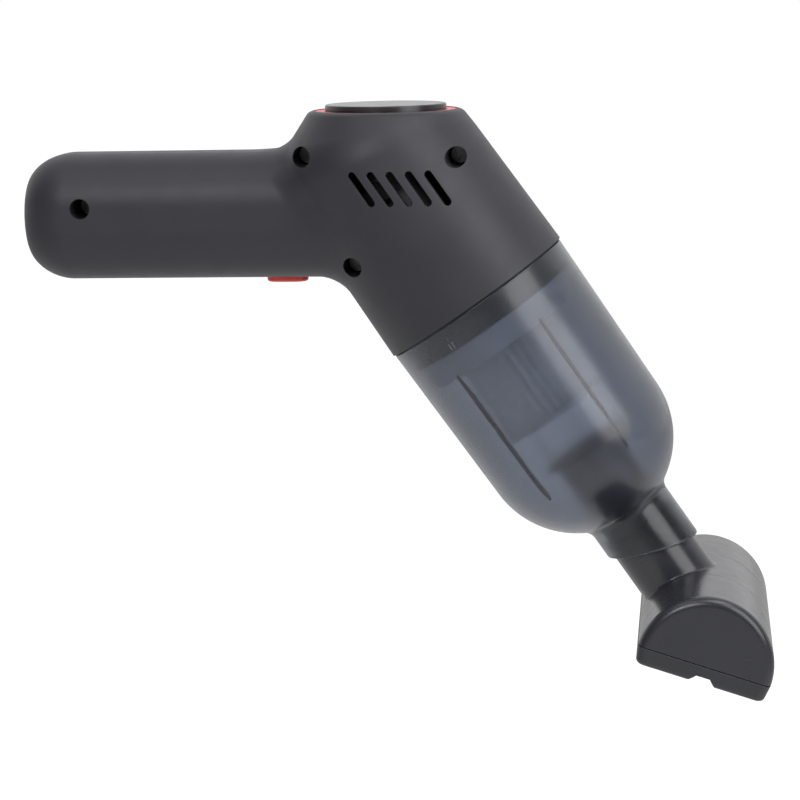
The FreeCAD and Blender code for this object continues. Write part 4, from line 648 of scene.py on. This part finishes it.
def head():
    """The nozzle head: a D-shaped chamber with its tube."""
    low, high = node_box("head_shell")
    body = skin("head", head_field, low - 6, high + 4, HEAD_STEP)
    base = block("base", HEAD_CENTRE - HEAD_Z * 30, (HEAD_X, Y, HEAD_Z), (90, 120, 60))
    boolean(body, base, "DIFFERENCE")
    span = HEAD_LENGTH / 2 - HEAD_WALL
    posts = []
    for x in (-1, 1):
        for y in (-1, 1):
            foot = HEAD_CENTRE + HEAD_X * x * SOLE_SCREW[0] + Y * y * SOLE_SCREW[1]
            foot = foot + HEAD_Z * SOLE_POST_START
            posts.append(prism("post", circle(foot, HEAD_X, Y, SOLE_POST, 32), HEAD_Z, 25.0))
    post = merged("posts", posts)
    boolean(post, body, "INTERSECT", keep=True)
    chamber = prism("chamber", half_ellipse(HEAD_WALL, -span, -2.0), Y, 2 * span)
    boolean(body, chamber, "DIFFERENCE")
    boolean(body, post, "UNION")
    length = (HEAD_CENTRE - SEAM) @ AXIS - HEAD_SPIGOT_START
    outline = circle(at(HEAD_SPIGOT_START - 1, 0), OUT, Y, HEAD_BORE, 96)
    boolean(body, prism("bore", outline, AXIS, length + 1), "DIFFERENCE")
    o_low, o_high = GROOVE
    outline = [(o_low, GROOVE_FLOOR), (o_high, GROOVE_FLOOR), (o_high, 14), (o_low, 14)]
    boolean(body, ring_solid("groove", outline, 128), "DIFFERENCE")
    for side in (-1, 1):
        y = side * PART_LINE
        outline = half_ellipse(-2, y - PART_LINE_WIDTH / 2, -2.0)
        seam = prism("seam", outline, Y, PART_LINE_WIDTH)
        core = prism("core", half_ellipse(PART_LINE_DEPTH, y - 1, -3.0), Y, 2.0)
        boolean(seam, core, "DIFFERENCE")
        boolean(body, seam, "DIFFERENCE")
    finish_normals(body, head_field, tolerance=0.03)
    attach(body, "head")
    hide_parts("head_shell")
    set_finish(body, "head_plastic")
    return body


def marks():
    """Two short raised bars on the coupling ring that show where the cup locks."""
    bars = []
    for u in MARK_PLACES:
        y = -math.sqrt(MARK_RADIUS ** 2 - u ** 2)
        radial = OUT * u / MARK_RADIUS + Y * y / MARK_RADIUS
        across = np.cross(AXIS, radial)
        bars.append(block("bar", at(MARK_START, u, y), (across, radial, AXIS), MARK_SIZE))
    bar = merged("lock_marks", bars)
    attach(bar, "housing")
    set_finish(bar, "plunger_plastic")
    bar.data.materials.append(MATERIALS["plunger_plastic"])


# ---- materials ----
def add(tree, kind, settings=(), **inputs):
    """A shader node, with its properties set, and its inputs set or linked.

    An input is given by its name, with _ for spaces, or as i0, i1 and so on by its number.
    """
    made = tree.nodes.new("ShaderNode" + kind)
    for key, value in dict(settings).items():
        setattr(made, key, value)
    for key, value in inputs.items():
        numbered = key[0] == "i" and key[1:].isdigit()
        socket = made.inputs[int(key[1:]) if numbered else key.replace("_", " ")]
        if isinstance(value, bpy.types.NodeSocket):
            tree.links.new(value, socket)
        else:
            socket.default_value = value
    return made


def noise(tree, scale, low, high, detail=3.0, stretch=None):
    """Noise in the piece's own coordinates, spread between two values."""
    place = add(tree, "TexCoord").outputs["Object"]
    if stretch:
        place = add(tree, "Mapping", Vector=place, Scale=stretch).outputs[0]
    texture = add(tree, "TexNoise", Vector=place, Scale=scale, Detail=detail)
    spread = add(
        tree, "MapRange", Value=texture.outputs[0],
        From_Min=0.3, From_Max=0.7, To_Min=low, To_Max=high
    )
    return spread.outputs[0]


def mixed(tree, share, first, second):
    """A colour between two others."""
    mix = add(tree, "Mix", {"data_type": "RGBA"}, i0=share, i6=first, i7=second)
    return mix.outputs[2]


DUST_CELLS, DUST_SIZE = 260.0, 0.032
DUST_COLOUR = (0.3, 0.3, 0.3, 1.0)


def specks(tree, cells, size, share):
    """Small sparse spots: 1 on a spot, 0 elsewhere."""
    place = add(tree, "TexCoord").outputs["Object"]
    texture = add(tree, "TexVoronoi", Vector=place, Scale=cells)
    near = add(tree, "Math", {"operation": "LESS_THAN"}, i0=texture.outputs["Distance"], i1=size)
    lot = add(tree, "SeparateColor", i0=texture.outputs["Color"]).outputs[0]
    chosen = add(tree, "Math", {"operation": "LESS_THAN"}, i0=lot, i1=share)
    both = add(tree, "Math", {"operation": "MULTIPLY"}, i0=near.outputs[0], i1=chosen.outputs[0])
    return both.outputs[0]


def shade(colour, factor):
    """A colour made lighter or darker, with its alpha."""
    return tuple(min(1.0, c * factor) for c in colour) + (1.0,)


ASLANT_SHADE_POWER = 1.3       # how late the painted shade on a clear wall sets in as it turns away


def finish(
    name, colour, rough, mottle=0.08, patch=90.0, spread=0.05, grain=2600.0, height=0.00001,
    round_edges=0.0, dust=0.0, stretch=None, aslant_painted_shade=0.0, **shader
):
    """A material: mottled colour, uneven gloss, a fine grain and specks of dust.

    mottle and patch are the strength and scale of the colour's variation, spread is that of
    the roughness, grain and height are the scale and depth of the bump, and round_edges is
    the radius that edges are shaded with. The darkening aslant is painted shade: the colour
    turns darker where the surface turns away from the view, for the longer path of light
    through a clear wall.
    """
    made = bpy.data.materials.new(name)
    made.use_nodes = True
    tree = made.node_tree
    main = tree.nodes["Principled BSDF"]
    patches = noise(tree, patch, 0.0, 1.0)
    tint = mixed(tree, patches, shade(colour, 1 - mottle), shade(colour, 1 + mottle))
    if dust:
        spot = specks(tree, DUST_CELLS, DUST_SIZE, dust)
        tint = mixed(tree, spot, tint, DUST_COLOUR)
    # Painted shade: the colour turns darker where the surface turns away from the view, standing in for the longer
    # path of light through a clear wall.
    if aslant_painted_shade:
        facing = add(tree, "LayerWeight").outputs["Facing"]
        steep = add(tree, "Math", {"operation": "POWER"}, i0=facing, i1=ASLANT_SHADE_POWER).outputs[0]
        tint = mixed(tree, steep, tint, shade(colour, 1 - aslant_painted_shade))
    tree.links.new(tint, main.inputs["Base Color"])
    gloss = noise(tree, patch * 2.3, rough - spread, rough + spread, stretch=stretch)
    tree.links.new(gloss, main.inputs["Roughness"])
    if height:
        rough_skin = noise(tree, grain, 0.0, 1.0, 2.0, stretch)
        bump = add(tree, "Bump", Height=rough_skin, Distance=height)
        tree.links.new(bump.outputs[0], main.inputs["Normal"])
    if height and round_edges:
        edge = add(tree, "Bevel", {"samples": 4}, Radius=round_edges)
        tree.links.new(edge.outputs[0], bump.inputs["Normal"])
    for key, value in shader.items():
        main.inputs[key.replace("_", " ")].default_value = value
    return made


METAL = {"Metallic": 1.0}
CLEAR = {"Transmission_Weight": 0.98, "IOR": 1.46}
MATERIALS = {
    "housing_plastic": finish(
        "housing_plastic", (0.0244, 0.0246, 0.0312), 0.48, mottle=0.05, patch=60.0, spread=0.03,
        round_edges=0.0004, dust=0.05, Specular_IOR_Level=0.4
    ),
    "red_plastic": finish("red_plastic", (0.8, 0.07, 0.06), 0.33, round_edges=0.0004),
    "disc_metal": finish(
        "disc_metal", (0.066, 0.069, 0.076), 0.3, spread=0.03, height=0.000002, round_edges=0.0003,
        Specular_Tint=(0.8, 0.8, 0.8, 1.0), Coat_Weight=0.3, Coat_Roughness=0.15, **METAL
    ),
    "screw_steel": finish("screw_steel", (0.09, 0.09, 0.09), 0.32, spread=0.12, **METAL),
    "spring_steel": finish("spring_steel", (0.55, 0.55, 0.56), 0.25, stretch=(1, 1, 0.1), **METAL),
    "nickel": finish("nickel", (0.62, 0.6, 0.56), 0.22, **METAL),
    "switch_plastic": finish("switch_plastic", (0.04, 0.04, 0.04), 0.4),
    "plunger_plastic": finish("plunger_plastic", (0.7, 0.7, 0.68), 0.5),
    "board_green": finish("board_green", (0.02, 0.12, 0.05), 0.3, mottle=0.2, patch=400.0),
    "cell_wrap": finish("cell_wrap", (0.08, 0.22, 0.5), 0.28, patch=40.0),
    "inner_plastic": finish("inner_plastic", (0.022, 0.022, 0.026), 0.48, height=0.0),
    "fan_plastic": finish("fan_plastic", (0.5, 0.5, 0.5), 0.45),
    # The can's steel grey is kept dark: partly its own colour, partly painted shade for the dark inside of the
    # housing seen through the vents.
    "can_steel": finish("can_steel", (0.17, 0.17, 0.18), 0.4, stretch=(1, 1, 0.1), **METAL),
    "bronze": finish("bronze", (0.6, 0.4, 0.2), 0.4, mottle=0.2, grain=5000.0, **METAL),
    "magnet": finish("magnet", (0.06, 0.06, 0.06), 0.6, mottle=0.2),
    "rotor_core": finish("rotor_core", (0.3, 0.3, 0.32), 0.4, stretch=(0.2, 1, 8), **METAL),
    "copper": finish("copper", (0.7, 0.35, 0.2), 0.25, mottle=0.15, **METAL),
    "rubber": finish("rubber", (0.02, 0.02, 0.02), 0.6, mottle=0.2, patch=300.0),
    "filter_plastic": finish("filter_plastic", (0.62, 0.63, 0.66), 0.5),
    "filter_paper": finish(
        "filter_paper", (0.92, 0.92, 0.93), 0.85, mottle=0.16, patch=500.0, grain=4000.0,
        height=0.00006
    ),
    "head_plastic": finish(
        "head_plastic", (0.0222, 0.0227, 0.0285), 0.25, mottle=0.06, spread=0.03, height=0.000001,
        round_edges=0.0003
    ),
    "sole_plastic": finish("sole_plastic", (0.022, 0.0225, 0.027), 0.42, round_edges=0.0005),
    "strip_fabric": finish(
        "strip_fabric", (0.05, 0.05, 0.05), 0.9, mottle=0.4, patch=1800.0, grain=3500.0,
        height=0.0003
    ),
    # Clear smoky plastic, with painted shade where its wall turns away from the view.
    "smoke_clear": finish(
        "smoke_clear", (0.352, 0.378, 0.44), 0.24, mottle=0.04, patch=25.0, spread=0.02,
        height=0.0, dust=0.03, aslant_painted_shade=0.9, **CLEAR
    ),
    # The neck takes a darker copy of the clear plastic: painted shade for the dark tube inside it and its thicker
    # wall, with painted shade aslant as well.
    "cup_neck_painted_shade": finish(
        "cup_neck_painted_shade", (0.2, 0.213, 0.245), 0.24, mottle=0.04, patch=25.0, spread=0.02, height=0.0,
        aslant_painted_shade=0.8, **CLEAR
    ),
    # The ribs take a darker, less clear copy of the cup's plastic: painted shade for the dark lines they show,
    # seen edge-on through the wall.
    "cup_ribs": finish("cup_ribs", (0.11, 0.117, 0.134), 0.3, Transmission_Weight=0.6),
    "tube_plastic": finish(
        "tube_plastic", (0.16, 0.17, 0.19), 0.2, spread=0.03, Transmission_Weight=0.6, IOR=1.46
    ),
}

# ---- the pieces and their materials ----
# A piece whose name is a material's takes that material, so the ribs get their darker copy of the clear plastic:
# painted shade.
for part in housing() + cup() + [head()]:
    part.data.materials.clear()
    part.data.materials.append(MATERIALS.get(part.name, MATERIALS[part["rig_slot"]]))
    part.data.polygons.foreach_set("material_index", [0] * len(part.data.polygons))
    if part.name == "cup":
        # The neck's faces take the darker copy of the clear plastic: painted shade.
        part.data.materials.append(MATERIALS["cup_neck_painted_shade"])
        for face in part.data.polygons:
            face.material_index = int((np.array(face.center) / MM - SEAM) @ AXIS > NECK_START)
marks()
for row in frame["record"]["subparts"]:
    for place in NODES[row["node"]].material_slots:
        place.material = MATERIALS[row["material_slot"]]

# ---- camera ----
CAMERA_PLACE = (0.178273, -0.835396, 0.076539)
CAMERA_YAW, CAMERA_PITCH, CAMERA_ROLL = -0.1159, -0.1640, -0.0206
CAMERA_LENS = 115.53     # millimetres, on a sensor 36 wide
yaw, pitch = CAMERA_YAW, CAMERA_PITCH
forward = Vector((
    math.sin(yaw) * math.cos(pitch), math.cos(yaw) * math.cos(pitch), math.sin(pitch)
))
level = Vector((math.cos(yaw), -math.sin(yaw), 0))
up = level.cross(forward)
right = level * math.cos(CAMERA_ROLL) + up * math.sin(CAMERA_ROLL)
up = right.cross(forward)
camera = bpy.data.objects.new("camera", bpy.data.cameras.new("camera"))
camera.data.sensor_width = 36.0
camera.data.lens = CAMERA_LENS
camera.matrix_world = Matrix((
    (right.x, up.x, -forward.x, CAMERA_PLACE[0]),
    (right.y, up.y, -forward.y, CAMERA_PLACE[1]),
    (right.z, up.z, -forward.z, CAMERA_PLACE[2]),
    (0, 0, 0, 1),
))
bpy.context.scene.collection.objects.link(camera)
bpy.context.scene.camera = camera

# ---- floor, light and background ----
def aimed(name, azimuth, elevation, distance, width, height, power, target):
    """A soft lamp that faces a target. Azimuth 0 is along -Y, about where the camera stands."""
    a, e = math.radians(azimuth), math.radians(elevation)
    away = Vector((math.sin(a) * math.cos(e), -math.cos(a) * math.cos(e), math.sin(e)))
    data = bpy.data.lights.new(name, "AREA")
    data.shape = "RECTANGLE"
    data.size, data.size_y = width, height
    data.energy = power
    lamp = bpy.data.objects.new(name, data)
    lamp.location = Vector(target) + away * distance
    lamp.rotation_mode = "QUATERNION"
    lamp.rotation_quaternion = away.to_track_quat("Z", "Y")
    lamp.visible_camera = False
    bpy.context.scene.collection.objects.link(lamp)


CENTRE = (0.08, 0.0, -0.05)
aimed("key", 53, 25, 1.1, 0.72, 0.9, 7.8, CENTRE)
aimed("fill", -14, 30, 1.4, 0.6, 0.6, 6.8, CENTRE)
aimed("overhead", 55, 64, 1.2, 0.8, 0.5, 5.0, CENTRE)
aimed("crest", -38, 64, 1.2, 0.8, 0.5, 1.9, CENTRE)

FLOOR_Z = -0.50 / MM
FLOOR_REACH = 12.0 / MM
corners = [
    (x * FLOOR_REACH, y * FLOOR_REACH, FLOOR_Z) for x, y in ((-1, -1), (1, -1), (1, 1), (-1, 1))
]
floor = new_object("floor", corners, [(0, 1, 2, 3)])
paint = bpy.data.materials.new("floor_paint")
paint.use_nodes = True
tree = paint.node_tree
path = add(tree, "LightPath")
mirrored = add(tree, "Math", {"operation": "MULTIPLY"}, i0=path.outputs["Is Glossy Ray"], i1=0.4)
seen = add(
    tree, "Math", {"operation": "MAXIMUM"},
    i0=path.outputs["Is Camera Ray"], i1=mirrored.outputs[0]
)
seen = add(
    tree, "Math", {"operation": "MAXIMUM"},
    i0=seen.outputs[0], i1=path.outputs["Is Transmission Ray"]
)
pale = tree.nodes["Principled BSDF"]
pale.inputs["Roughness"].default_value = 0.9
pale.inputs["Specular IOR Level"].default_value = 0.0
floor_tint = mixed(
    tree, noise(tree, 4.0, 0, 1), (0.60, 0.60, 0.60, 1), (0.62, 0.62, 0.62, 1)
)
tree.links.new(floor_tint, pale.inputs["Base Color"])
glow = add(tree, "Math", {"operation": "MULTIPLY"}, i0=seen.outputs[0], i1=0.75)
tree.links.new(glow.outputs[0], pale.inputs["Emission Strength"])
pale.inputs["Emission Color"].default_value = (1, 1, 1, 1)
floor.data.materials.append(paint)

world = bpy.data.worlds.new("studio")
bpy.context.scene.world = world
world.use_nodes = True
tree = world.node_tree
sky = tree.nodes["Background"]
path = add(tree, "LightPath")
seen = add(
    tree, "Math", {"operation": "MAXIMUM"},
    i0=path.outputs["Is Camera Ray"], i1=path.outputs["Is Transmission Ray"]
)
side = add(tree, "SeparateXYZ", Vector=add(tree, "TexCoord").outputs["Generated"]).outputs[1]
# The room is dim on the camera's side, so that the front shows no white reflection.
room = add(tree, "MapRange", {"interpolation_type": "SMOOTHSTEP"}, Value=side,
           From_Min=-0.15, From_Max=0.45, To_Min=0.12, To_Max=1.0)
strength = add(tree, "Math", {"operation": "MAXIMUM"}, i0=seen.outputs[0], i1=room.outputs[0])
tree.links.new(strength.outputs[0], sky.inputs["Strength"])
sky.inputs["Color"].default_value = (1, 1, 1, 1)
bpy.context.scene.view_settings.view_transform = "Standard"
